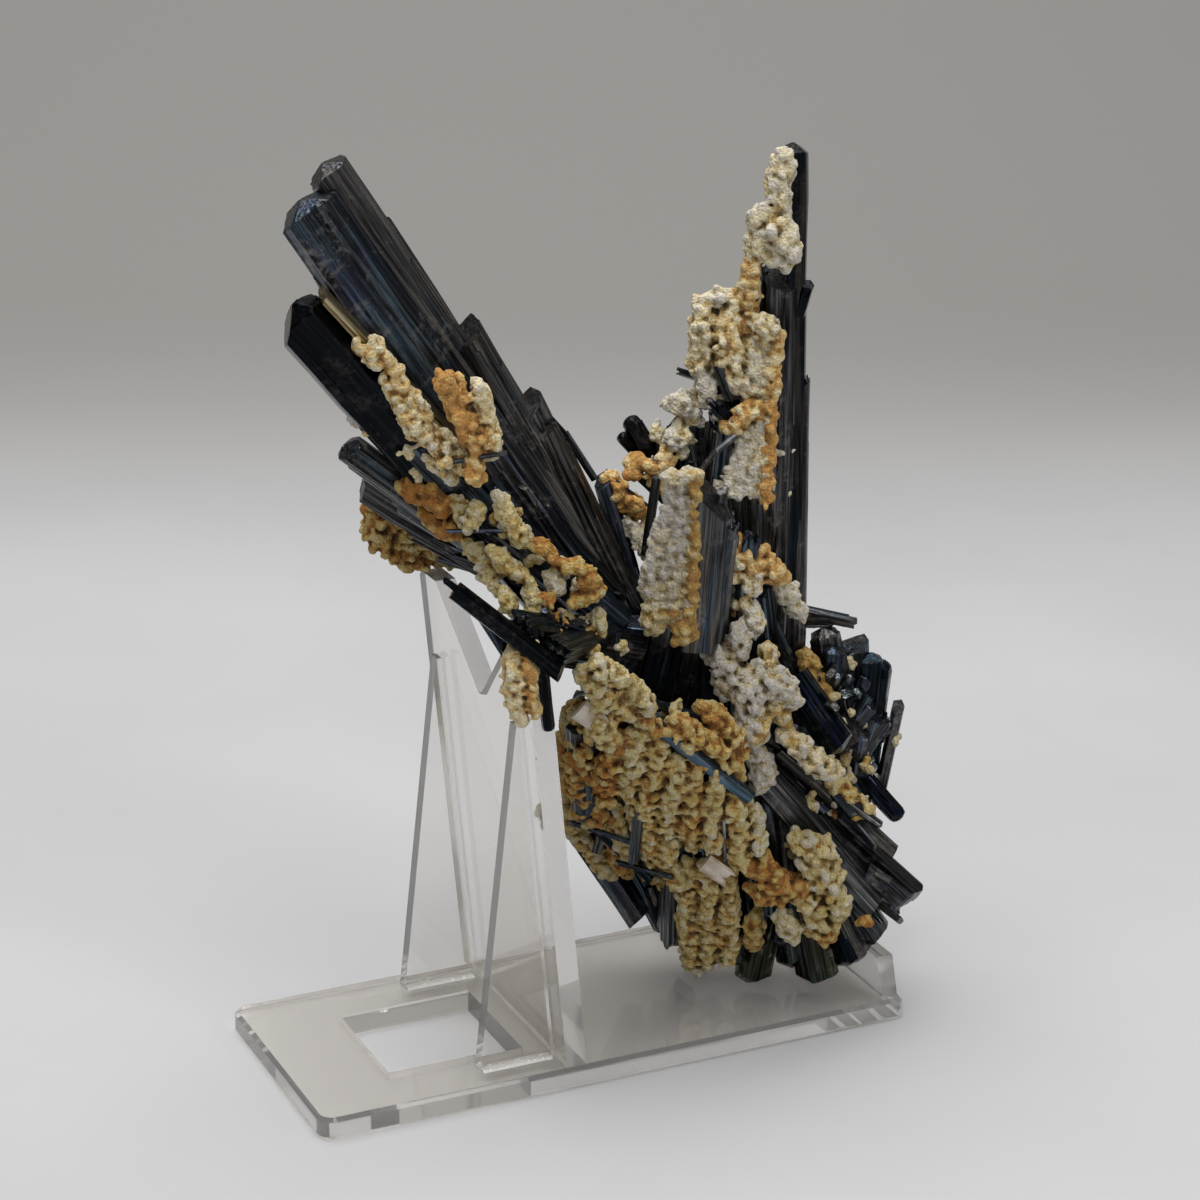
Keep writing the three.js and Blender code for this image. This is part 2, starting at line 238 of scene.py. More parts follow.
@dataclass(frozen=True)
class Crust:
    """Antimony oxide crust, grown as grains that round into knobs.

    It scatters light like dry plaster: chalky and cream where it is fresh, ochre and
    orange-brown where iron has stained it, with a fine sugary grain. Painted light pales
    its knobs' tops, and painted shade darkens its hollows.
    """

    name: str = "ochre_crust"
    chalk: str = "beb6a5"
    cream: str = "bfb180"
    ochre: str = "b19350"
    orange: str = "a06c33"
    # The near-black brown that the hollows darken to: painted shade over their own brown.
    hollow_dirt_and_shade: str = "2a1f13"
    grain_mm: float = 0.6
    stain_mm: float = 4.0
    bump_mm: float = 0.45

    def make(self) -> bpy.types.Material:
        """Build the material.

        Returns:
            The new material.
        """
        mat = new_material(self.name)
        place = add_node(mat, "ShaderNodeTexCoord").outputs["Object"]
        tone = add_node(mat, "ShaderNodeAttribute", {"attribute_name": "tint"})
        stain = add_node(mat, "ShaderNodeTexNoise",
                         {"Scale": 1 / (self.stain_mm * MM), "Detail": 4.0, "Roughness": 0.6},
                         {"Vector": place})
        grains = add_node(mat, "ShaderNodeTexVoronoi", {"Scale": 1 / (self.grain_mm * MM)},
                          {"Vector": place})
        dust = add_node(mat, "ShaderNodeTexNoise",
                        {"Scale": 1 / (0.7 * self.grain_mm * MM), "Detail": 3.0},
                        {"Vector": place})
        hollow = add_node(mat, "ShaderNodeAttribute", {"attribute_name": "hollow"})
        # Stain and the growth's own tone choose the colour; painted light and shade
        # pale the knobs' tops and darken the hollows.
        mixed = add_node(mat, "ShaderNodeMath", {"operation": "MULTIPLY_ADD", 1: 0.5},
                         {0: stain.outputs["Fac"], 2: tone.outputs["Fac"]})
        tone_by_hollow = add_node(mat, "ShaderNodeMapRange",
                        {"From Min": 0.3, "From Max": 0.65, "To Min": -0.16, "To Max": 0.26},
                        {"Value": hollow.outputs["Fac"]})
        mixed = add_node(mat, "ShaderNodeMath", {"operation": "ADD"},
                         {0: mixed.outputs[0], 1: tone_by_hollow.outputs[0]})
        colour = add_node(mat, "ShaderNodeValToRGB", {"stops": [
            (0.28, self.chalk), (0.55, self.cream), (0.82, self.ochre), (1.00, self.orange),
        ]}, {"Fac": mixed.outputs[0]})
        speck = add_node(mat, "ShaderNodeMapRange",
                         {"From Min": 0.3, "From Max": 0.7, "To Min": 0.7, "To Max": 1.15},
                         {"Value": dust.outputs["Fac"]})
        grained = add_node(mat, "ShaderNodeMix",
                           {"data_type": "RGBA", "blend_type": "MULTIPLY", 0: 1.0},
                           {6: colour.outputs["Color"], 7: speck.outputs[0]})
        # Painted shade: deep in the hollows the colour darkens towards near-black.
        hollow_darkening = add_node(mat, "ShaderNodeMapRange",
                          {"From Min": 0.46, "From Max": 0.72, "To Min": 0.0, "To Max": 0.92},
                          {"Value": hollow.outputs["Fac"]})
        shaded = add_node(mat, "ShaderNodeMix", {"data_type": "RGBA", 7: linear(self.hollow_dirt_and_shade)},
                          {0: hollow_darkening.outputs[0], 6: grained.outputs[2]})
        # Round grains and finer dust roughen the skin.
        height = add_node(mat, "ShaderNodeMath", {"operation": "SUBTRACT"},
                          {0: dust.outputs["Fac"], 1: grains.outputs["Distance"]})
        bump = add_node(mat, "ShaderNodeBump",
                        {"Strength": 0.7, "Distance": self.bump_mm * MM},
                        {"Height": height.outputs[0]})
        shader = add_node(mat, "ShaderNodeBsdfPrincipled",
                          {"Roughness": 0.85, "Specular IOR Level": 0.3},
                          {"Base Color": shaded.outputs[2], "Normal": bump.outputs[0]})
        add_node(mat, "ShaderNodeOutputMaterial", None, {"Surface": shader.outputs[0]})
        return mat


@dataclass(frozen=True)
class PaleFlake:
    """Cleaved flake of pale, cloudy mineral, which glows softly through its thin edges."""

    name: str = "pale_flake"
    body: str = "d9cfc2"
    vein: str = "b9a58c"
    vein_mm: float = 2.5

    def make(self) -> bpy.types.Material:
        """Build the material.

        Returns:
            The new material.
        """
        mat = new_material(self.name)
        place = add_node(mat, "ShaderNodeTexCoord").outputs["Object"]
        veins = add_node(mat, "ShaderNodeTexNoise",
                         {"Scale": 1 / (self.vein_mm * MM), "Detail": 4.0}, {"Vector": place})
        colour = add_node(mat, "ShaderNodeValToRGB",
                          {"stops": [(0.4, self.vein), (0.6, self.body)]},
                          {"Fac": veins.outputs["Fac"]})
        shader = add_node(mat, "ShaderNodeBsdfPrincipled",
                          {"Roughness": 0.4, "Transmission Weight": 0.3, "IOR": 1.55},
                          {"Base Color": colour.outputs["Color"]})
        add_node(mat, "ShaderNodeOutputMaterial", None, {"Surface": shader.outputs[0]})
        return mat


@dataclass(frozen=True)
class ClearAcrylic:
    """Cast acrylic sheet, saw-cut and flame-polished at its edges.

    It is see-through with a faint grey cast, its faces carry a haze of handling, its sawn edges
    are frosted pale, and lamps shine through it onto what it stands on.

    face_axis is the axis, as 0, 1 or 2, that the sheet's two broad faces look along.
    """

    name: str = "clear_acrylic"
    face_axis: int = 2
    tint: str = "f3f1ee"
    shade: str = "c2c0bc"
    ior: float = 1.49
    haze_mm: float = 22.22
    frosting: float = 0.2

    def make(self) -> bpy.types.Material:
        """Build the material.

        Returns:
            The new material.
        """
        mat = new_material(self.name)
        place = add_node(mat, "ShaderNodeTexCoord").outputs["Object"]
        haze = add_node(mat, "ShaderNodeTexNoise",
                        {"Scale": 1 / (self.haze_mm * MM), "Detail": 5.0}, {"Vector": place})
        rough = add_node(mat, "ShaderNodeMapRange",
                         {"From Min": 0.45, "From Max": 0.8, "To Min": 0.01, "To Max": 0.13},
                         {"Value": haze.outputs["Fac"]})
        # The broad faces are clear; every other face is a sawn edge, a little frosted.
        normal = add_node(mat, "ShaderNodeTexCoord").outputs["Normal"]
        facing = add_node(mat, "ShaderNodeSeparateXYZ", None, {"Vector": normal})
        square = add_node(mat, "ShaderNodeMath", {"operation": "ABSOLUTE"},
                          {0: facing.outputs[self.face_axis]})
        edge = add_node(mat, "ShaderNodeMath", {"operation": "LESS_THAN", 1: 0.97},
                        {0: square.outputs[0]})
        clear = add_node(mat, "ShaderNodeMapRange", {"To Min": 1.0, "To Max": 1 - self.frosting},
                         {"Value": edge.outputs[0]})
        frosted = add_node(mat, "ShaderNodeMath", {"operation": "MULTIPLY_ADD", 1: 0.05},
                           {0: edge.outputs[0], 2: rough.outputs[0]})
        shader = add_node(mat, "ShaderNodeBsdfPrincipled",
                          {"Base Color": linear(self.tint), "IOR": self.ior},
                          {"Roughness": frosted.outputs[0],
                           "Transmission Weight": clear.outputs[0]})
        # Lamps shine through it, a little dimmed.
        open_shader = add_node(mat, "ShaderNodeBsdfTransparent", {"Color": linear(self.shade)})
        path = add_node(mat, "ShaderNodeLightPath")
        mix = add_node(mat, "ShaderNodeMixShader", None,
                       {0: path.outputs["Is Shadow Ray"], 1: shader.outputs[0],
                        2: open_shader.outputs[0]})
        add_node(mat, "ShaderNodeOutputMaterial", None, {"Surface": mix.outputs[0]})
        return mat


@dataclass(frozen=True)
class SolventCement:
    """Solvent cement squeezed out of a glued joint, set milky white and glossy."""

    name: str = "solvent_cement"
    milk: str = "f2f3f2"
    bubble_mm: float = 1.11

    def make(self) -> bpy.types.Material:
        """Build the material.

        Returns:
            The new material.
        """
        mat = new_material(self.name)
        place = add_node(mat, "ShaderNodeTexCoord").outputs["Object"]
        bubbles = add_node(mat, "ShaderNodeTexNoise",
                           {"Scale": 1 / (self.bubble_mm * MM), "Detail": 2.0},
                           {"Vector": place})
        rough = add_node(mat, "ShaderNodeMapRange", {"To Min": 0.15, "To Max": 0.35},
                         {"Value": bubbles.outputs["Fac"]})
        shader = add_node(mat, "ShaderNodeBsdfPrincipled",
                          {"Base Color": linear(self.milk), "Transmission Weight": 0.35,
                           "IOR": 1.46},
                          {"Roughness": rough.outputs[0]})
        add_node(mat, "ShaderNodeOutputMaterial", None, {"Surface": shader.outputs[0]})
        return mat


@dataclass(frozen=True)
class StudioPaper:
    """Matt background paper, with a faint mottling, and painted shade that greys it behind the
    part, where less light falls.

    fade_m is how far behind the part the painted shade starts, and where it is full.
    """

    name: str = "studio_paper"
    pale: str = "c3c3c4"
    dim: str = "bababb"
    # The grey of the painted shade, far behind the part and up the sweep.
    far: str = "95938f"
    mottle_mm: float = 166.7
    fade_m: tuple[float, float] = (0.22, 0.52)

    def make(self) -> bpy.types.Material:
        """Build the material.

        Returns:
            The new material.
        """
        mat = new_material(self.name)
        place = add_node(mat, "ShaderNodeTexCoord").outputs["Object"]
        mottle = add_node(mat, "ShaderNodeTexNoise",
                          {"Scale": 1 / (self.mottle_mm * MM), "Detail": 5.0},
                          {"Vector": place})
        colour = add_node(mat, "ShaderNodeValToRGB",
                          {"stops": [(0.3, self.dim), (0.7, self.pale)]},
                          {"Fac": mottle.outputs["Fac"]})
        reach = add_node(mat, "ShaderNodeAttribute", {"attribute_name": "reach"})
        # Painted shade: the paper greys behind the part and up the sweep.
        fade = add_node(mat, "ShaderNodeMapRange",
                        {"interpolation_type": "SMOOTHSTEP", "From Min": self.fade_m[0],
                         "From Max": self.fade_m[1]},
                        {"Value": reach.outputs["Fac"]})
        paper_with_painted_shade = add_node(mat, "ShaderNodeMix", {"data_type": "RGBA", 7: linear(self.far)},
                         {0: fade.outputs[0], 6: colour.outputs["Color"]})
        shader = add_node(mat, "ShaderNodeBsdfPrincipled",
                          {"Roughness": 0.9, "Specular IOR Level": 0.2},
                          {"Base Color": paper_with_painted_shade.outputs[2]})
        add_node(mat, "ShaderNodeOutputMaterial", None, {"Surface": shader.outputs[0]})
        return mat


class CrystalFinish(Enum):
    """What a crystal wears, in the order of a bundle's material slots."""

    # Weathered faces: a silky grey sheen over near-black, streaked with bronze and teal.
    SATIN = StriatedStibnite()
    # Fresh faces: wet-looking black, with narrow bright glints and hardly any grit.
    GLOSSY = StriatedStibnite("glossy_stibnite", base="0c0e12", dark="040507", sheen="1c2126",
                              roughness=0.12, tarnish=0.35, dusting=0.1)
    # A blade under a thin oxide film: straw-coloured, with its metal showing through.
    PALE = StriatedStibnite("pale_stibnite", base="8a7a55", dark="3a3222", sheen="d8cda6",
                            roughness=0.3, tarnish=0.2)
    # Clean broken ends: bright lead-grey, which glint.
    BRIGHT = StriatedStibnite("bright_stibnite", base="6b7277", dark="2a2f33", sheen="c6ccd0",
                              roughness=0.2, tarnish=0.1)
    # Prisms at the foot: smooth and dark, with an olive cast.
    OLIVE = StriatedStibnite("olive_stibnite", base="23231a", dark="060606", sheen="5f5d47",
                             roughness=0.2, tarnish=0.3)
    # A split flake of other mineral, caught in the crust.
    FLAKE = PaleFlake()
    # Broad side blades: mid-grey, like brushed lead.
    GREY = StriatedStibnite("grey_stibnite", base="4c4a47", dark="161615", sheen="a3a09a",
                            roughness=0.26, tarnish=0.4)
    # The one blade with strong tarnish: teal and violet over steel.
    RAINBOW = StriatedStibnite("iridescent_stibnite", base="46505a", dark="15181c",
                               sheen="8d9ea4", bronze="6f5a44", teal="27586c",
                               violet="303a66", roughness=0.18, tarnish=0.75)

    def slot(self) -> int:
        """Give the index of the material slot that holds this finish."""
        return list(CrystalFinish).index(self)


class Stain(Enum):
    """How a growth of crust is stained; one palette is also painted paler as light."""

    # Iron-stained all through: the yellow-brown of dry clay.
    OCHRE = Crust()
    # Lightly stained: pale peach and cream, orange only on the knobs' flanks. Part of its
    # paleness is painted light, for the crust that the light from above reaches most.
    PEACH = Crust("peach_crust", chalk="d0c9bb", cream="dacea8", ochre="ccac6f",
                  orange="bb8a4b")
    # Hardly stained: chalk white, like unglazed china.
    WHITE = Crust("white_crust", chalk="bab4aa", cream="c5b792", orange="a88047")


# ---- the spray's frame --------------------------------------------------------------------
class SprayFrame:
    """Where the spray's own frame sits on the easel, and how far it is turned.

    SEAT_SHARE is how far along the base, from its window's end, the spray is seated.
    """

    SEAT_SHARE = 80 / 118
    TURN_DEG = -24.7

    def __init__(self) -> None:
        """Work out the frame's origin, on the easel's floor plane, and its turn."""
        low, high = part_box("easel_base")
        along = low.x + self.SEAT_SHARE * (high.x - low.x)
        self.seat = np.array([along, 0.5 * (low.y + high.y), low.z])
        turn = math.radians(self.TURN_DEG)
        self.spin = np.array([[math.cos(turn), -math.sin(turn), 0.0],
                              [math.sin(turn), math.cos(turn), 0.0],
                              [0.0, 0.0, 1.0]])

    def to_spray(self, points: np.ndarray) -> np.ndarray:
        """Turn rows of x, y, z in the part's metres into the spray's millimetres."""
        return (points - self.seat) / MM @ self.spin

    def to_world(self, points: np.ndarray) -> np.ndarray:
        """Turn rows of x, y, z in the spray's millimetres into the part's metres."""
        return points @ self.spin.T * MM + self.seat


SPRAY = SprayFrame()


# ---- meshes -------------------------------------------------------------------------------
@dataclass
class MeshBuffer:
    """The growing mesh of one piece, with the attributes that its finish reads."""

    points: list[np.ndarray] = field(default_factory=list)
    faces: list[list[int]] = field(default_factory=list)
    finish: list[int] = field(default_factory=list)
    grain: list[np.ndarray] = field(default_factory=list)
    tint: list[np.ndarray] = field(default_factory=list)
    count: int = 0

    def add(self, points: np.ndarray, faces: list[list[int]], grain: np.ndarray,
            tint: float | np.ndarray, finish: int = 0) -> None:
        """Append one closed shell.

        Args:
            points: its vertices in the part's frame, in metres.
            faces: its faces, numbered from 0 within the shell.
            grain: its vertices in its own frame, in millimetres, with z along the growth.
            tint: a value from 0 to 1 that shifts the finish's colour, for the whole shell or
                for each vertex.
            finish: the index of the material that it wears.
        """
        self.points.append(points)
        self.faces.extend([[i + self.count for i in face] for face in faces])
        self.finish.extend([finish] * len(faces))
        self.grain.append(grain)
        self.tint.append(np.full(len(points), tint))
        self.count += len(points)

    def build(self, name: str, materials: list[bpy.types.Material]) -> bpy.types.Object:
        """Make the Blender object.

        Args:
            name: the object's name.
            materials: the materials that the shells' finish indexes point at.

        Returns:
            The new object, linked to the scene.
        """
        mesh = bpy.data.meshes.new(name)
        mesh.from_pydata(np.concatenate(self.points).tolist(), [], self.faces)
        for material in materials:
            mesh.materials.append(material)
        mesh.polygons.foreach_set("material_index", self.finish)
        store(mesh, "grain", np.concatenate(self.grain))
        store(mesh, "tint", np.concatenate(self.tint))
        mesh.update()
        piece = bpy.data.objects.new(name, mesh)
        bpy.context.scene.collection.objects.link(piece)
        return piece


def store(mesh: bpy.types.Mesh, name: str, values: np.ndarray) -> None:
    """Store one value, or one vector, for each vertex of a mesh.

    Args:
        mesh: the mesh that takes the attribute.
        name: the attribute's name.
        values: a row for each vertex.
    """
    vector = values.ndim == 2
    layer = mesh.attributes.new(name, "FLOAT_VECTOR" if vector else "FLOAT", "POINT")
    layer.data.foreach_set("vector" if vector else "value", values.astype(np.float32).ravel())


class End(Enum):
    """How a crystal ends."""

    CHISEL = "grown roof of a few planes"
    BROKEN = "splintery break"
    ROUND = "dissolved, rounded end"
    SLANT = "one slanting plane"


@dataclass(frozen=True)
class Blade:
    """One crystal: a striated bar between two points, in millimetres.

    wide lies along the fan when roll is 0, and thick lies across it. cut is the slant of a
    SLANT end, in millimetres of drop per millimetre across and through the bar. stria is how
    wide each stria is, and depth how deep the deepest lies.
    """

    foot: Point
    tip: Point
    wide: float
    thick: float
    end: End = End.BROKEN
    slivers: int = 0
    roll: float = 0.0
    tint: float = 0.2
    finish: CrystalFinish = CrystalFinish.SATIN
    cut: tuple[float, float] = (0.35, 0.2)
    stria: float = 0.55
    depth: float = 0.2

    def length(self) -> float:
        """Give the crystal's length in millimetres."""
        return float(np.linalg.norm(np.subtract(self.tip, self.foot)))

    def axes(self) -> np.ndarray:
        """Find the crystal's own axes.

        Returns:
            Three unit rows: across, through and along the crystal.
        """
        along = np.subtract(self.tip, self.foot) / self.length()
        across = np.cross(along, (0.0, 1.0, 0.0))
        if np.linalg.norm(across) < 0.05:
            across = np.cross(along, (1.0, 0.0, 0.0))
        across = across / np.linalg.norm(across)
        through = np.cross(along, across)
        c, s = math.cos(math.radians(self.roll)), math.sin(math.radians(self.roll))
        return np.array([c * across + s * through, c * through - s * across, along])


class CrystalGrower:
    """Grows striated crystals into a mesh buffer.

    FLAT is the share of a crystal's width that its broad faces take. The rings of an end are
    drawn in by CAP_SHARES, and RING_MM lies between the rings along a bar. BANDS is how many
    steps a broken end has each way, and FAN_ENDS are the ends of a tuft's crystals. Tufts are
    seated no further from a stem's axis than SEAT_SHARE of its width.
    """

    FLAT = 0.66
    CAP_SHARES = (0.88, 0.66, 0.42, 0.18)
    SEAT_SHARE = 0.35
    RING_MM = 8.0
    BANDS = 32
    FAN_ENDS = (End.SLANT, End.CHISEL, End.CHISEL)

    def __init__(self, seed: int, stems: list[Blade]) -> None:
        """Start a grower whose random draws depend only on the seed.

        Args:
            seed: the seed.
            stems: the large crystals that tufts grow out of.
        """
        self.rng = np.random.default_rng(seed)
        self.buffer = MeshBuffer()
        self.stems = stems

    def outline(self, blade: Blade) -> tuple[np.ndarray, np.ndarray]:
        """Draw a crystal's cross-section: points on a flattened hexagon and their normals.

        Args:
            blade: the crystal.

        Returns:
            Rows of x, y, and rows of the outward normal at each.
        """
        a, b = blade.wide / 2, blade.thick / 2
        flat = self.FLAT * a
        corners = np.array([[a, 0], [flat, b], [-flat, b],
                            [-a, 0], [-flat, -b], [flat, -b], [a, 0]])
        sides = np.diff(corners, axis=0)
        lengths = np.linalg.norm(sides, axis=1)
        count = int(max(8, round(lengths.sum() / blade.stria)))
        steps = np.arange(count) + self.rng.uniform(-0.3, 0.3, count)
        place = np.sort(steps % count) * lengths.sum() / count
        ends = np.concatenate([[0.0], np.cumsum(lengths)])
        points = np.stack([np.interp(place, ends, corners[:, i]) for i in (0, 1)], axis=1)
        which = np.clip(np.searchsorted(ends, place, side="right") - 1, 0, len(sides) - 1)
        normals = np.stack([sides[which, 1], -sides[which, 0]], axis=1)
        return points, normals / np.linalg.norm(normals, axis=1)[:, None]

    def termination(self, blade: Blade) -> Callable[[np.ndarray], np.ndarray]:
        """Draw the shape of a crystal's end.

        Args:
            blade: the crystal.

        Returns:
            A function from rows of x, y to how far the end lies below the tip there.
        """
        a, b, rng = blade.wide / 2, blade.thick / 2, self.rng
        if blade.end is End.CHISEL:
            ridge, slopes = rng.uniform(-0.3, 0.3) * a, rng.uniform(0.35, 0.9, 4)
            return lambda p: np.maximum.reduce([
                slopes[0] * (p[:, 0] - ridge), slopes[1] * (ridge - p[:, 0]),
                slopes[2] * p[:, 1], -slopes[3] * p[:, 1]])
        if blade.end is End.SLANT:
            rise = a * abs(blade.cut[0]) + b * abs(blade.cut[1])
            return lambda p: rise + p @ np.array(blade.cut)
        if blade.end is End.ROUND:
            return lambda p: 0.9 * b * (1 - np.sqrt(np.maximum(
                0.0, 1 - (p[:, 0] / a) ** 2 - (p[:, 1] / b) ** 2)))
        steps = rng.uniform(0, 1, 2 * self.BANDS) ** 1.5 * min(4.0, 0.6 * blade.wide)
        pitch = max(0.5, 0.16 * blade.wide)
        return lambda p: (steps[np.floor(p[:, 0] / pitch).astype(int) % self.BANDS]
                          + 0.4 * steps[self.BANDS + np.floor(p[:, 1] / pitch).astype(int)
                                        % self.BANDS])

    def grooves(self, count: int, depth: float, hold: float) -> np.ndarray:
        """Draw the depth of each stria, held over runs of neighbours.

        Args:
            count: how many columns the crystal has.
            depth: the deepest groove in millimetres.
            hold: the chance that a column keeps its neighbour's depth.

        Returns:
            The depth at each column.
        """
        depths = self.rng.uniform(0, 1, count) ** 1.5 * depth
        keep = self.rng.uniform(size=count) < hold
        for i in range(1, count):
            if keep[i]:
                depths[i] = depths[i - 1]
        return depths

    def grow(self, blade: Blade) -> None:
        """Grow one crystal, with the slivers that lie along it.

        Args:
            blade: the crystal.
        """
        rng = self.rng
        section, normals = self.outline(blade)
        drop = self.termination(blade)
        count, length = len(section), blade.length()
        rings = int(max(3, round(length / self.RING_MM)))
        # Fine striae, broad ridges held over many columns, and steps part way along.
        groove = self.grooves(count, blade.depth, 0.4)
        groove += self.grooves(count, 0.05 * blade.thick, 0.88)
        step_at = rng.uniform(0.1, 1.3, count)
        step_by = self.grooves(count, 0.7 * blade.depth, 0.6)
        ends = length - drop(section)
        # Each ring is the section, drawn in by the striae and swayed a little.
        sway = rng.normal(0, 0.012 * min(blade.wide, blade.thick), (rings + 1, 2))
        shell = []
        for k in range(rings + 1):
            t = k / rings
            wear = 0.05 * blade.depth * rng.normal(size=count)
            inset = groove + step_by * (t > step_at) + wear
            inset = np.clip(inset, 0, 0.3 * min(blade.thick, blade.wide))
            flat = section - normals * inset[:, None] + sway[k]
            shell.append(np.column_stack([flat, t * ends]))
        # The end's rings, its tip and the middle of the foot close the bar.
        rim = shell[-1][:, :2]
        for share in self.CAP_SHARES:
            shell.append(np.column_stack([rim * share, length - drop(rim * share)]))
        shell.append(np.array([[0.0, 0.0, length - drop(np.zeros((1, 2)))[0]]]))
        shell.append(np.array([[0.0, 0.0, 0.0]]))
        local = np.concatenate(shell)
        world = SPRAY.to_world(local @ blade.axes() + np.array(blade.foot))
        grain = local + rng.uniform(-300, 300, 3)
        faces = self.skin(count, rings + 1 + len(self.CAP_SHARES))
        self.buffer.add(world, faces, grain, blade.tint, blade.finish.slot())
        for _ in range(blade.slivers):
            self.grow(self.sliver(blade))

    @staticmethod
    def skin(count: int, rings: int) -> list[list[int]]:
        """List the faces of a bar made of rings, then a tip point, then a foot point.

        Args:
            count: how many points each ring has.
            rings: how many rings there are.

        Returns:
            The faces, numbered from the first ring's first point.
        """
        faces = []
        for k in range(rings - 1):
            for j in range(count):
                n = (j + 1) % count
                faces.append([k * count + j, k * count + n,
                              (k + 1) * count + n, (k + 1) * count + j])
        top, tip, foot = (rings - 1) * count, rings * count, rings * count + 1
        for j in range(count):
            n = (j + 1) % count
            faces.append([top + j, top + n, tip])
            faces.append([n, j, foot])
        return faces

    def sliver(self, blade: Blade) -> Blade:
        """Draw a thin bar that lies along a crystal's side, half sunk in it.

        Args:
            blade: the crystal.

        Returns:
            The thin bar, as a crystal without slivers.
        """
        rng = self.rng
        axes = blade.axes()
        turn = rng.uniform(0, 2 * math.pi)
        wide = rng.uniform(0.14, 0.36) * blade.wide
        thick = rng.uniform(0.2, 0.42) * blade.thick
        side = math.cos(turn) * (blade.wide / 2 - 0.45 * wide) * axes[0]
        side = side + math.sin(turn) * (blade.thick / 2 - 0.45 * thick) * axes[1]
        start, stop = rng.uniform(0.0, 0.5), rng.uniform(0.55, 0.97)
        foot = np.array(blade.foot) + start * blade.length() * axes[2] + side
        tip = np.array(blade.foot) + stop * blade.length() * axes[2] + side
        end = End.BROKEN if rng.uniform() < 0.5 else End.SLANT
        tint = blade.tint + rng.uniform(-0.1, 0.1)
        return Blade(tuple(foot), tuple(tip), wide, thick, end, 0,
                     blade.roll + rng.uniform(-10, 10), tint, blade.finish,
                     stria=blade.stria, depth=0.5 * blade.depth)

    def seat(self, foot: np.ndarray) -> np.ndarray:
        """Move a foot that hangs clear of every large crystal onto the nearest one.

        Args:
            foot: where a small crystal starts, in millimetres.

        Returns:
            The same point, or one on the nearest crystal's side.
        """
        starts = np.array([stem.foot for stem in self.stems], float)
        along = np.array([stem.tip for stem in self.stems], float) - starts
        radii = np.array([self.SEAT_SHARE * min(stem.wide, stem.thick) for stem in self.stems])
        share = ((foot - starts) * along).sum(axis=1) / (along ** 2).sum(axis=1)
        away = foot - starts - np.clip(share, 0, 0.95)[:, None] * along
        distance = np.linalg.norm(away, axis=1)
        gaps = distance - radii
        nearest = int(np.argmin(gaps))
        if gaps[nearest] <= 0:
            return foot
        return foot - away[nearest] * gaps[nearest] / distance[nearest]

    def tuft(self, tuft: "Tuft") -> None:
        """Grow a fan of small crystals out of one spot, all clear of the easel.

        Args:
            tuft: where the fan grows, and what its crystals are like.
        """
        rng = self.rng
        heading = np.array(tuft.along, float) / np.linalg.norm(tuft.along)
        for _ in range(tuft.count):
            foot = self.seat(np.array(tuft.centre)
                             + 1.6 * tuft.scatter * rng.uniform(-1, 1, 3))
            away = heading + rng.normal(0, tuft.spread, 3)
            tip = foot + away / np.linalg.norm(away) * rng.uniform(*tuft.length)
            size = rng.uniform(*tuft.wide)
            end = self.FAN_ENDS[int(rng.integers(len(self.FAN_ENDS)))]
            blade = Blade(tuple(foot), tuple(tip), size, size * rng.uniform(0.45, 0.9), end, 0,
                          rng.uniform(0, 180), rng.uniform(0, 0.6), tuft.finish,
                          stria=max(0.45, size / 7), depth=0.06 * size)
            both = SPRAY.to_world(np.array([blade.foot, blade.tip]))
            if all(ROOM.holds(point, size * MM) for point in both):
                self.grow(blade)


@dataclass(frozen=True)
class Tuft:
    """A fan of small crystals out of one spot, in millimetres.

    spread is how far their directions stray from along, as the sine of an angle. scatter is
    how far their feet lie from the centre.
    """

    centre: Point
    along: Point
    count: int
    length: tuple[float, float] = (6.0, 14.0)
    wide: tuple[float, float] = (0.8, 2.6)
    spread: float = 0.35
    scatter: float = 3.0
    finish: CrystalFinish = CrystalFinish.SATIN


class Room:
    """The room that the spray may fill: the CAD model's box, less the easel's own.

    FLOOR is a height just above the easel's base plate, in metres.
    """

    FLOOR = 0.0048

    def __init__(self) -> None:
        """Measure the CAD model's box and the easel's backrest."""
        self.low, self.high = (np.array(corner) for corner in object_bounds())
        self.backrest = [np.array(corner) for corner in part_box("easel_backrest")]

    def holds(self, point: np.ndarray, margin: float) -> bool:
        """Say whether a point is in the room.

        Args:
            point: the point in the part's frame, in metres.
            margin: how far it has to be from the room's limits, in metres.

        Returns:
            True where it is in the room and clear of the limits.
        """
        inside = bool(np.all(point > self.low + margin) and np.all(point < self.high - margin))
        rest_low, rest_high = self.backrest
        in_front = point[0] > rest_high[0] + margin
        above = point[2] > rest_high[2] + margin
        beside = point[1] < rest_low[1] - margin or point[1] > rest_high[1] + margin
        return inside and point[2] > self.FLOOR + margin and (in_front or above or beside)


ROOM = Room()


# ---- crust --------------------------------------------------------------------------------
@dataclass(frozen=True)
class Run:
    """Knobs of crust strung along a path, in millimetres.

    radius is the run's own and knob its knobs'. tone runs from 0, white-grey, through 0.35,
    cream, and 0.6, ochre, to 1, orange-brown. gap is the chance of a break at each step.
    """

    path: tuple[Point, ...]
    radius: float
    tone: float = 0.4
    knob: float = 0.75
    gap: float = 0.0


@dataclass(frozen=True)
class Sheet:
    """A granular face of crust between four corners, in millimetres, in order around it.

    rim is the tone of the larger knobs on the edge from the second corner to the third.
    """

    corners: tuple[Point, Point, Point, Point]
    tone: float
    rim: float | None = None
    knob: float = 0.6
    thick: float = 0.9
    rim_knob: float = 1.2


@dataclass(frozen=True)
class Crumbs:
    """Small lumps of crust that sit on the crystals about a spot, in millimetres."""

    centre: Point
    spread: Point
    count: int
    tone: float = 0.4
    size: tuple[float, float] = (0.5, 1.2)


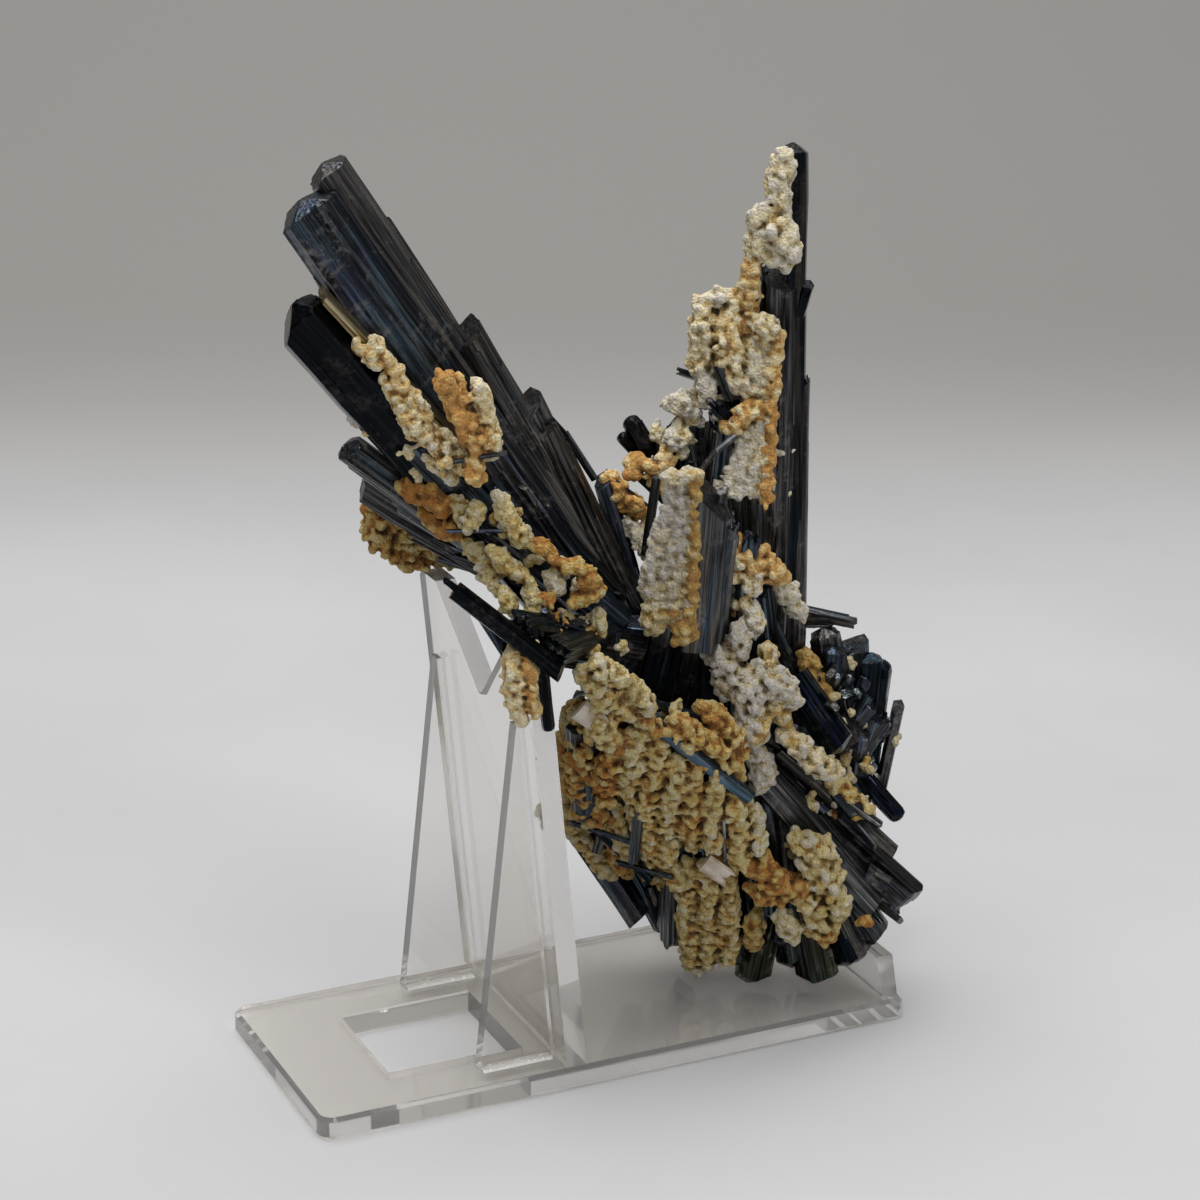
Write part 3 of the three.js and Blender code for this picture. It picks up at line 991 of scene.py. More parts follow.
class CrustGrower:
    """Grows crust as overlapping knobs, then draws one skin around them.

    VOXEL is the skin's grid in millimetres. Its billows are FINE_MM across and FINE_AMOUNT
    high, about FINE_LEVEL. CAVITY_MM is how far about a point its hollow is felt, SWAY_MM how
    fast a run sways, RAGGED the share of a sheet that thins out at its edges, and SPECK the
    fewest vertices that a shell of the skin may have.
    """

    VOXEL = 0.34
    FINE_MM = 0.95
    FINE_AMOUNT = 0.45
    FINE_LEVEL = 0.1
    CAVITY_MM = 1.1
    SWAY_MM = 2.1
    RAGGED = 0.1
    SPECK = 70

    def __init__(self, seed: int) -> None:
        """Start a grower whose random draws depend only on the seed."""
        self.rng = np.random.default_rng(seed)
        self.knobs: list[tuple[float, float, float, float, float]] = []

    def knob(self, centre: np.ndarray, radius: float, tone: float) -> None:
        """Add one knob, if it lies in the room that the spray may fill.

        Args:
            centre: its centre in millimetres.
            radius: its radius in millimetres.
            tone: how far it is stained, from 0 to 1.
        """
        if ROOM.holds(SPRAY.to_world(centre[None])[0], (radius + 0.3) * MM):
            self.knobs.append((*centre, radius, tone + self.rng.normal(0, 0.1)))

    def run(self, run: Run) -> None:
        """String knobs along a run's path, which sways, swells and tapers to its ends.

        Args:
            run: the path, and what its knobs are like.
        """
        rng = self.rng
        path = np.array(run.path, float)
        legs = np.linalg.norm(np.diff(path, axis=0), axis=1)
        ends = np.concatenate([[0.0], np.cumsum(legs)])
        side = np.cross(path[-1] - path[0], rng.normal(size=3))
        side = side / np.linalg.norm(side)
        other = np.cross(path[-1] - path[0], side)
        other = other / np.linalg.norm(other)
        around = max(3, round(2 * math.pi * run.radius / (1.4 * run.knob)))
        waves = rng.uniform(0, 2 * math.pi, 3)
        for station in np.linspace(0, ends[-1], max(2, round(ends[-1] / (0.8 * run.knob)) + 1)):
            if rng.uniform() < run.gap:
                continue
            sway = 0.15 * run.radius * np.sin(station / self.SWAY_MM + waves)
            middle = np.array([np.interp(station, ends, path[:, i]) for i in range(3)])
            middle = middle + sway[0] * side + sway[1] * other
            taper = 0.55 + 0.45 * min(station, ends[-1] - station) / run.radius
            radius = (run.radius + sway[2]) * min(1.0, taper) * rng.uniform(0.8, 1.05)
            self.knob(middle, 0.75 * radius, run.tone)
            for turn in np.arange(around) + rng.uniform():
                size = run.knob * rng.uniform(0.4, 1.15)
                angle = 2 * math.pi * turn / around + rng.normal(0, 0.5)
                out = (radius - 0.6 * size) * (math.cos(angle) * side + math.sin(angle) * other)
                self.knob(middle + out + rng.normal(0, 0.45 * run.knob, 3), size, run.tone)

    def sheet(self, sheet: Sheet) -> None:
        """Spread knobs over a sheet's face, and larger ones along its rim.

        Args:
            sheet: the face, and what its knobs are like.
        """
        rng = self.rng
        a, b, c, d = (np.array(corner, float) for corner in sheet.corners)
        across = float(np.linalg.norm(b - a) + np.linalg.norm(c - d)) / 2
        down = float(np.linalg.norm(d - a) + np.linalg.norm(c - b)) / 2
        normal = np.cross(b - a, d - a)
        normal = normal / np.linalg.norm(normal)
        columns, rows = (max(2, round(side / (0.85 * sheet.knob))) for side in (across, down))
        for i in range(columns + 1):
            for j in range(rows + 1):
                u = i / columns + rng.normal(0, 0.6 / columns)
                v = j / rows + rng.normal(0, 0.6 / rows)
                place = (1 - u) * (1 - v) * a + u * (1 - v) * b + u * v * c + (1 - u) * v * d
                if rng.uniform() > min(u, 1 - u, v, 1 - v) / self.RAGGED:
                    continue
                rise = rng.normal(0, 0.25 * sheet.thick)
                self.knob(place + normal * rise, sheet.knob * rng.uniform(0.5, 1.4),
                          sheet.tone + 0.25 * max(0.0, u - 0.5))
        if sheet.rim is not None:
            self.run(Run((tuple(b), tuple(c)), 0.8 * sheet.rim_knob, sheet.rim,
                         sheet.rim_knob))

    def crumbs(self, crumbs: Crumbs, anchors: np.ndarray) -> None:
        """Set lumps of a few knobs each on the crystals.

        Args:
            crumbs: where they lie, and how many.
            anchors: points on the crystals' surfaces, in millimetres.
        """
        rng = self.rng
        away = (anchors - crumbs.centre) / crumbs.spread
        near = anchors[(away ** 2).sum(axis=1) < 1]
        for spot in near[rng.integers(len(near), size=crumbs.count)]:
            tone = crumbs.tone + rng.normal(0, 0.12)
            for _ in range(int(rng.integers(3, 9))):
                size = rng.uniform(*crumbs.size)
                self.knob(spot + rng.normal(0, 0.7 * crumbs.size[1], 3), size, tone)

    def skin(self) -> tuple[np.ndarray, np.ndarray, np.ndarray, np.ndarray]:
        """Draw the skin around all the knobs.

        Returns:
            Its vertices in millimetres, its four-sided faces, each vertex's tone, and how
            deep in a hollow each vertex lies.
        """
        knobs = np.array(self.knobs)
        margin = knobs[:, 3].max() + 3 * self.VOXEL
        low = knobs[:, :3].min(axis=0) - margin
        shape = np.ceil((knobs[:, :3].max(axis=0) + margin - low) / self.VOXEL).astype(int)
        distance, tones = self.stamp(low, shape)
        # A blur along each axis in turn melts the knobs into one another.
        for _ in range(3):
            distance[1:-1] = (distance[:-2] + 2 * distance[1:-1] + distance[2:]) / 4
            distance = np.ascontiguousarray(distance.transpose(1, 2, 0))
        distance += self.FINE_AMOUNT * (self.FINE_LEVEL - np.abs(self.speckle(shape)))
        corners, faces = drop_specks(*surface_net(distance), self.SPECK)
        cells = tuple(np.clip(np.round(corners).astype(int), 0, shape - 1).T)
        return low + corners * self.VOXEL, faces, tones[cells], self.hollows(distance)[cells]

    def stamp(self, low: np.ndarray, shape: np.ndarray) -> tuple[np.ndarray, np.ndarray]:
        """Stamp every knob into a grid.

        Args:
            low: the grid's first point in millimetres.
            shape: how many points it has each way.

        Returns:
            The distance to the nearest knob's surface at each point, negative inside, and
            that knob's tone.
        """
        distance = np.full(shape, 2.0, np.float32)
        tones = np.zeros(shape, np.float32)
        for x, y, z, radius, tone in np.array(self.knobs):
            first = ((np.array([x, y, z]) - radius - 2.5 * self.VOXEL - low) // self.VOXEL)
            first = np.maximum(first, 0).astype(int)
            last = first + int(math.ceil(2 * radius / self.VOXEL)) + 6
            block = tuple(slice(i, j) for i, j in zip(first, last))
            gx, gy, gz = (low[i] + self.VOXEL * np.arange(first[i], min(last[i], shape[i]))
                          - (x, y, z)[i] for i in range(3))
            near = np.sqrt(gx[:, None, None] ** 2 + gy[None, :, None] ** 2
                           + gz[None, None, :] ** 2) - radius
            closer = near < distance[block]
            distance[block] = np.where(closer, near, distance[block])
            tones[block] = np.where(closer, tone, tones[block])
        return distance, tones

    def hollows(self, distance: np.ndarray) -> np.ndarray:
        """Find how much of the cube about each grid point is crust.

        Args:
            distance: the distance to the skin at each point, negative inside.

        Returns:
            The share at each point, from 0 to 1, which is high deep in a hollow.
        """
        solid = (distance < 0).astype(np.float32)
        span = round(self.CAVITY_MM / self.VOXEL)
        for axis, size in enumerate(distance.shape):
            total = np.cumsum(solid, axis=axis)
            place = np.arange(size)
            ahead = np.take(total, np.minimum(place + span, size - 1), axis)
            behind = np.take(total, np.maximum(place - span - 1, 0), axis)
            solid = (ahead - behind) / (2 * span + 1)
        return solid

    def speckle(self, shape: np.ndarray) -> np.ndarray:
        """Draw smooth noise on a grid, with grains FINE_MM across.

        Args:
            shape: how many points the grid has each way.

        Returns:
            A value from -1 to 1 at each point.
        """
        stride = self.FINE_MM / self.VOXEL
        coarse = self.rng.uniform(-1, 1, np.ceil(shape / stride).astype(int) + 2)
        for axis in range(3):
            place = np.arange(shape[axis]) / stride
            base = place.astype(int)
            share = (place - base).reshape([-1 if i == axis else 1 for i in range(3)])
            coarse = (np.take(coarse, base, axis) * (1 - share)
                      + np.take(coarse, base + 1, axis) * share)
        return coarse.astype(np.float32)

    def build(self, name: str, material: bpy.types.Material) -> bpy.types.Object:
        """Make the Blender object of this crust.

        Args:
            name: the object's name.
            material: what it wears.

        Returns:
            The new object, linked to the scene.
        """
        corners, faces, tones, hollows = self.skin()
        buffer = MeshBuffer()
        buffer.add(SPRAY.to_world(corners), faces.tolist(), corners, tones)
        piece = buffer.build(name, [material])
        store(piece.data, "hollow", hollows)
        piece.data.shade_smooth()
        return piece


def surface_net(distance: np.ndarray) -> tuple[np.ndarray, np.ndarray]:
    """Draw the surface where a distance on a grid crosses zero.

    Args:
        distance: the distance at each grid point, negative inside.

    Returns:
        The surface's vertices in grid units, and its four-sided faces, facing outwards.
    """
    inside = distance < 0
    offsets = np.array([[i, j, k] for i in (0, 1) for j in (0, 1) for k in (0, 1)])
    size = np.array(distance.shape) - 1
    full = np.zeros(size, np.int8)
    for i, j, k in offsets:
        full += inside[i:i + size[0], j:j + size[1], k:k + size[2]]
    cells = np.argwhere((full > 0) & (full < 8))
    number = np.full(size, -1, np.int64)
    number[tuple(cells.T)] = np.arange(len(cells))
    values = np.stack([distance[tuple((cells + offset).T)] for offset in offsets], axis=1)
    # Each vertex is the mean of the places where its cell's edges cross the surface.
    total = np.zeros((len(cells), 3))
    crossings = np.zeros(len(cells))
    for p in range(8):
        for q in range(p + 1, 8):
            if np.abs(offsets[p] - offsets[q]).sum() != 1:
                continue
            cross = (values[:, p] < 0) != (values[:, q] < 0)
            gap = np.where(cross, values[:, p] - values[:, q], 1.0)
            share = np.where(cross, values[:, p] / gap, 0.0)[:, None]
            total += cross[:, None] * (offsets[p] + share * (offsets[q] - offsets[p]))
            crossings += cross
    vertices = cells + total / crossings[:, None]
    # Each grid edge that crosses the surface gives a face between its four cells.
    faces = []
    for axis in range(3):
        one, two = np.eye(3, dtype=int)[[(axis + 1) % 3, (axis + 2) % 3]]
        ahead = np.eye(3, dtype=int)[axis]
        inner = tuple(slice(0 if i == axis else 1, size[i]) for i in range(3))
        start = inside[inner]
        stop = inside[tuple(slice(s.start + ahead[i], s.stop + ahead[i])
                            for i, s in enumerate(inner))]
        edges = np.argwhere(start != stop) + [s.start for s in inner]
        around = np.stack([number[tuple((edges - shift).T)]
                           for shift in (0 * one, one, one + two, two)], axis=1)
        outward = inside[tuple(edges.T)]
        faces.append(np.where(outward[:, None], around, around[:, ::-1]))
    return vertices, np.concatenate(faces)


def drop_specks(corners: np.ndarray, faces: np.ndarray,
                least: int) -> tuple[np.ndarray, np.ndarray]:
    """Leave out the shells that are too small to see what they hang on.

    Args:
        corners: the surface's vertices.
        faces: its four-sided faces.
        least: how many vertices a shell needs to stay.

    Returns:
        The vertices and faces of the shells that stay.
    """
    shell = np.arange(len(corners))
    settled = False
    while not settled:
        lowest = shell.copy()
        np.minimum.at(lowest, faces.ravel(), np.repeat(shell[faces].min(axis=1), 4))
        lowest = lowest[lowest]
        settled = np.array_equal(lowest, shell)
        shell = lowest
    # A shell's number is that of its lowest vertex.
    stays = np.bincount(shell, minlength=len(corners))[shell] >= least
    number = np.cumsum(stays) - 1
    return corners[stays], number[faces[stays[faces[:, 0]]]]


# ---- the spray's sub-assemblies -----------------------------------------------------------
@dataclass(frozen=True)
class CrystalGroup:
    """A bundle of crystals that grew together, and the CAD node that it stands for.

    Its tufts grow out of the stems, which are its blades wider than STEM_MM.
    """

    STEM_MM: ClassVar[float] = 2.0
    name: str
    node: str
    seed: int
    blades: tuple[Blade, ...] = ()
    tufts: tuple[Tuft, ...] = ()

    def build(self, finishes: list[bpy.types.Material]) -> np.ndarray:
        """Grow the bundle, hide its CAD node and log the piece.

        Args:
            finishes: the materials that the blades' finish indexes point at.

        Returns:
            The bundle's vertices in the spray's frame, in millimetres.
        """
        stems = [blade for blade in self.blades if blade.wide > self.STEM_MM]
        grower = CrystalGrower(self.seed, stems)
        for blade in self.blades:
            grower.grow(blade)
        for tuft in self.tufts:
            grower.tuft(tuft)
        piece = grower.buffer.build(self.name, finishes)
        fit(piece, self.node)
        return SPRAY.to_spray(np.concatenate(grower.buffer.points))


@dataclass(frozen=True)
class CrustGroup:
    """A growth of crust, and the CAD node that it stands for."""

    name: str
    node: str
    seed: int
    runs: tuple[Run, ...] = ()
    sheets: tuple[Sheet, ...] = ()
    crumbs: tuple[Crumbs, ...] = ()
    stain: Stain = Stain.OCHRE

    def build(self, finish: bpy.types.Material, anchors: np.ndarray) -> None:
        """Grow the crust, hide its CAD node and log the piece.

        Args:
            finish: what it wears.
            anchors: points on the crystals' surfaces, in millimetres.
        """
        grower = CrustGrower(self.seed)
        for crumbs in self.crumbs:
            grower.crumbs(crumbs, anchors)
        for run in self.runs:
            grower.run(run)
        for sheet in self.sheets:
            grower.sheet(sheet)
        piece = grower.build(self.name, finish)
        fit(piece, self.node)


def fit(piece: bpy.types.Object, node: str | None) -> None:
    """Tie a piece to the part's body and to the CAD node that it stands for.

    Args:
        piece: the new piece.
        node: the CAD node that it replaces, or None.
    """
    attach(piece, BODY)
    if node is not None:
        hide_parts(node)
    LOG.info("%s: %d faces", piece.name, len(piece.data.polygons))


CHISEL, BROKEN, ROUND, SLANT = End
SATIN, GLOSSY, PALE, BRIGHT, OLIVE, FLAKE, GREY, RAINBOW = CrystalFinish

ARM_BLADES = CrystalGroup("arm_blade_bundle", "arm_blades", 11, (
    Blade((-7, -6, 80), (-60, -27, 170), 8.5, 7.5, CHISEL, 3, 12, tint=0.05),
    Blade((-12, -12, 80), (-63.3, -31, 164.8), 12.5, 7.5, CHISEL, 9, 6, tint=0.32),
    Blade((-12, -4, 86), (-52, -22, 158), 7.0, 8.0, SLANT, 4, tint=0.1),
    Blade((-11, -12, 86), (-57, -27, 144), 7.5, 6.0, BROKEN, 5, -8, tint=0.15),
    Blade((-9, -5, 84), (-37, -20, 140), 6.5, 7.0, SLANT, 4, 4, tint=0.0),
    Blade((-6, -4, 76), (-27, -13, 125), 7.0, 7.0, SLANT, 6, 10, tint=0.05),
    Blade((-5, -8, 80), (-23, -16, 121), 5.0, 4.0, SLANT, 4, tint=0.0),
    Blade((-4, -4, 76), (-13, -8, 109), 4.0, 5.0, SLANT, 3, tint=0.3),
    Blade((-10, 0, 78), (-46, -8, 126), 8.0, 6.0, BROKEN, 4, tint=0.2),
    Blade((-12, 2, 82), (-50, 4, 101), 6.0, 5.0, BROKEN, 3, tint=0.2),
    Blade((-15, -16, 84), (-46, -29, 122), 7.0, 4.0, BROKEN, 4, tint=0.3),
    Blade((-10, -18, 84), (-32, -30, 108), 8.0, 4.0, BROKEN, 4, tint=0.3),
    Blade((-13, -10, 66), (-6, -14, 84), 5.0, 4.0, SLANT, 3, tint=0.4),
    Blade((-19, -8, 116), (-24, -9, 122), 1.6, 0.6, SLANT, tint=0.5),
    Blade((-14, -8, 108), (-19.5, -8, 117), 1.7, 0.6, SLANT, tint=0.5),
), (
    Tuft((-24, -22, 100), (-0.55, -0.3, 0.75), 16, (6, 12), (0.8, 2.0), 0.15, 4),
    Tuft((-21, -17, 106), (-0.3, -0.5, 0.8), 7, (1.5, 3), (1.0, 2.2), 0.5, 1.5, finish=BRIGHT),
    Tuft((-61.5, -31, 160.5), (-0.5, -0.3, 0.8), 8, (1.5, 3.2), (1.4, 3.2), 0.4, 1.5, finish=BRIGHT),
    Tuft((-12, -18, 86), (-0.5, -0.4, 0.7), 18, (6, 12), (0.8, 2.2), 0.2, 4),
    Tuft((-18, 0, 94), (-0.6, 0.1, 0.7), 20, (8, 16), (1.6, 4.4), 0.12, 5),
    Tuft((-30, -5, 106), (-0.6, 0.0, 0.75), 16, (8, 16), (1.6, 4.4), 0.1, 5),
))

ARM_PRISMS = CrystalGroup("arm_prism_bundle", "arm_lower_prisms", 12, (
    Blade((-20, -15, 86), (-66, -34, 147), 11.0, 8.0, CHISEL, 2, tint=0.9, finish=GLOSSY),
    Blade((-36, -24, 118), (-60.5, -33, 149.5), 2.6, 4.5, SLANT, 0, tint=0.3, finish=PALE),
    Blade((-20, -18, 88), (-58, -22, 119), 6.0, 6.0, CHISEL, 5, 15, tint=0.1),
    Blade((-22, -16, 92), (-56, -25, 126), 3.6, 2.6, SLANT, 2, tint=0.6),
    Blade((-20, -9, 83), (-57, -8, 107), 4.8, 5.0, SLANT, 5, tint=0.05),
    Blade((-20, -7, 82), (-48, -6, 98), 3.4, 3.0, BROKEN, 2, tint=0.1),
    Blade((-30, -12, 92), (-50, -18, 108), 4.0, 3.0, BROKEN, 2, tint=0.5),
), (
    Tuft((-34, -13, 97), (-0.8, -0.2, 0.5), 12, (5, 10), (0.8, 2.0), 0.15, 3),
    Tuft((-34, -1, 94), (-0.8, 0.2, 0.4), 16, (6, 13), (1.2, 3.2), 0.2, 4),
))

NEAR_RODS = CrystalGroup("near_shoulder_rod_bundle", "near_shoulder_rods", 13, (
    Blade((-8, -16, 78), (-29, -40, 91), 10.0, 7.0, BROKEN, 8, tint=0.2),
    Blade((-38, -42, 99), (-19, -44, 84), 3.8, 3.6, SLANT, 2, tint=0.9, finish=GLOSSY),
    Blade((-37, -41.6, 98.6), (-40, -41.6, 101), 1.6, 1.4, CHISEL, tint=0.9, finish=GLOSSY),
    Blade((-24, -41, 92), (-22, -42, 73), 2.7, 2.7, ROUND, tint=0.9, finish=GLOSSY),
    Blade((-36, -37, 96), (-28, -38, 83), 1.6, 1.2, BROKEN, 3, tint=0.4),
    Blade((-12, -22, 84), (-21, -43, 88), 5.0, 5.0, BROKEN, 3, tint=0.2),
    Blade((-29, -33.5, 121), (-40, -33.5, 119), 1.0, 0.9, SLANT, tint=0.3),
    Blade((-30, -31, 106), (-40, -31, 106), 0.9, 0.8, SLANT, tint=0.3),
    Blade((-12, -34.5, 79), (-18, -38.5, 78), 1.2, 1.0, BROKEN, tint=0.3),
    Blade((-10, -28, 86), (-10, -31, 70), 1.1, 1.1, BROKEN, tint=0.3),
), (
    Tuft((-19, -30, 92), (-0.5, -0.6, 0.4), 22, (3, 7), (0.8, 2.0), 0.35, 4),
))

SPIRE = CrystalGroup("spire_bundle", "spire_blades", 14, (
    Blade((22.6, 6, 64), (21.6, 2, 167.5), 4.6, 6.0, CHISEL, 3, 8, tint=0.1, finish=GLOSSY),
    Blade((19, 6, 64), (19.0, 1, 145), 7.5, 7.0, SLANT, 8, tint=0.05, cut=(-0.3, 0.3)),
    Blade((24, 5, 60), (23.6, 4, 124), 3.4, 4.6, BROKEN, 4, tint=0.1),
    Blade((14, 5, 68), (15, 2, 146), 5.0, 5.0, BROKEN, 5, tint=0.2),
    Blade((12, 5, 70), (9, 1, 129), 6.0, 4.5, BROKEN, 6, tint=0.2),
    Blade((14, 4, 72), (12, -2, 112), 9.0, 5.0, BROKEN, 6, tint=0.2),
    Blade((22.6, 5, 66), (22.8, 4, 104), 3.0, 4.0, BROKEN, 4, tint=0.0),
    Blade((22.5, 2, 136), (24.2, 2, 142.5), 3.0, 3.6, CHISEL, 0, tint=0.8, finish=GLOSSY),
    Blade((7, -3, 128), (6, -3.5, 136), 1.9, 1.6, SLANT, tint=0.5),
    Blade((11, -4, 122), (8, -5, 130), 3.4, 2.0, BROKEN, 2, tint=0.2),
    Blade((12, -5, 117), (7.5, -8, 122.5), 3.0, 2.6, ROUND, tint=0.9, finish=GLOSSY),
    Blade((6, -2, 125), (0.5, -3, 127), 1.8, 1.6, BROKEN, tint=0.3),
), (
    Tuft((18, 3, 90), (0.02, 0.0, 1.0), 12, (9, 18), (1.6, 3.6), 0.04, 1.6),
    Tuft((13, 6, 98), (-0.05, 0.1, 1.0), 22, (8, 18), (1.6, 4.0), 0.08, 3.5),
    Tuft((7, -4, 119), (-0.7, -0.2, 0.5), 7, (3, 6), (1.0, 2.4), 0.25, 2),
))

CENTRE = CrystalGroup("centre_prism_detail", "centre_prism", 15, (
    Blade((4.5, -17, 80), (6.5, -25, 114.5), 8.5, 7.0, SLANT, 4, tint=0.1,
          cut=(-0.95, 0.2)),
    Blade((7, -15, 80), (9.5, -22, 107), 5.5, 6.0, SLANT, 3, tint=0.2, cut=(-0.9, 0.1)),
    Blade((-5, -12, 95), (-3, -13, 110.5), 2.0, 0.9, SLANT, tint=0.6),
    Blade((11, -12, 117.5), (7, -14, 114.8), 1.5, 0.5, SLANT, roll=30, tint=0.55),
    Blade((7.4, -14, 115.4), (3.2, -22, 112.2), 1.6, 0.5, SLANT, roll=-20, tint=0.55),
    Blade((8, -10, 80), (10, -12, 104), 5.0, 3.0, BROKEN, 4, tint=0.3),
    Blade((13, -9, 80), (14, -11, 99), 4.0, 3.0, BROKEN, 4, tint=0.4),
))

SPRIG = CrystalGroup("sprig_bundle", "sprig_prisms", 16, (
    Blade((0, -1, 104), (-8, -2, 118), 3.8, 3.6, ROUND, 1, tint=0.9, finish=GLOSSY),
    Blade((0, 0, 104), (-9.6, -1, 114.5), 3.0, 3.0, ROUND, 0, tint=0.9, finish=GLOSSY),
    Blade((5, 0, 88), (-2, -1, 112), 6.0, 4.0, BROKEN, 5, tint=0.3),
    Blade((6, -1, 90), (4, -3, 118), 7.0, 4.0, BROKEN, 5, tint=0.2),
    Blade((6, -2, 90), (9, -7, 120), 6.0, 4.0, BROKEN, 5, tint=0.2),
    Blade((0, -1, 114), (5, -2, 121), 4.0, 2.0, BROKEN, 3, tint=0.3),
    Blade((-4, -7, 102.5), (-10.5, -9, 108.5), 0.8, 0.7, SLANT, tint=0.3),
), (
    Tuft((4, -2, 106), (-0.3, -0.1, 0.9), 18, (5, 10), (1.0, 2.6), 0.2, 3.5),
    Tuft((2, 3, 96), (-0.25, 0.2, 0.9), 22, (8, 16), (1.2, 3.4), 0.2, 4),
))

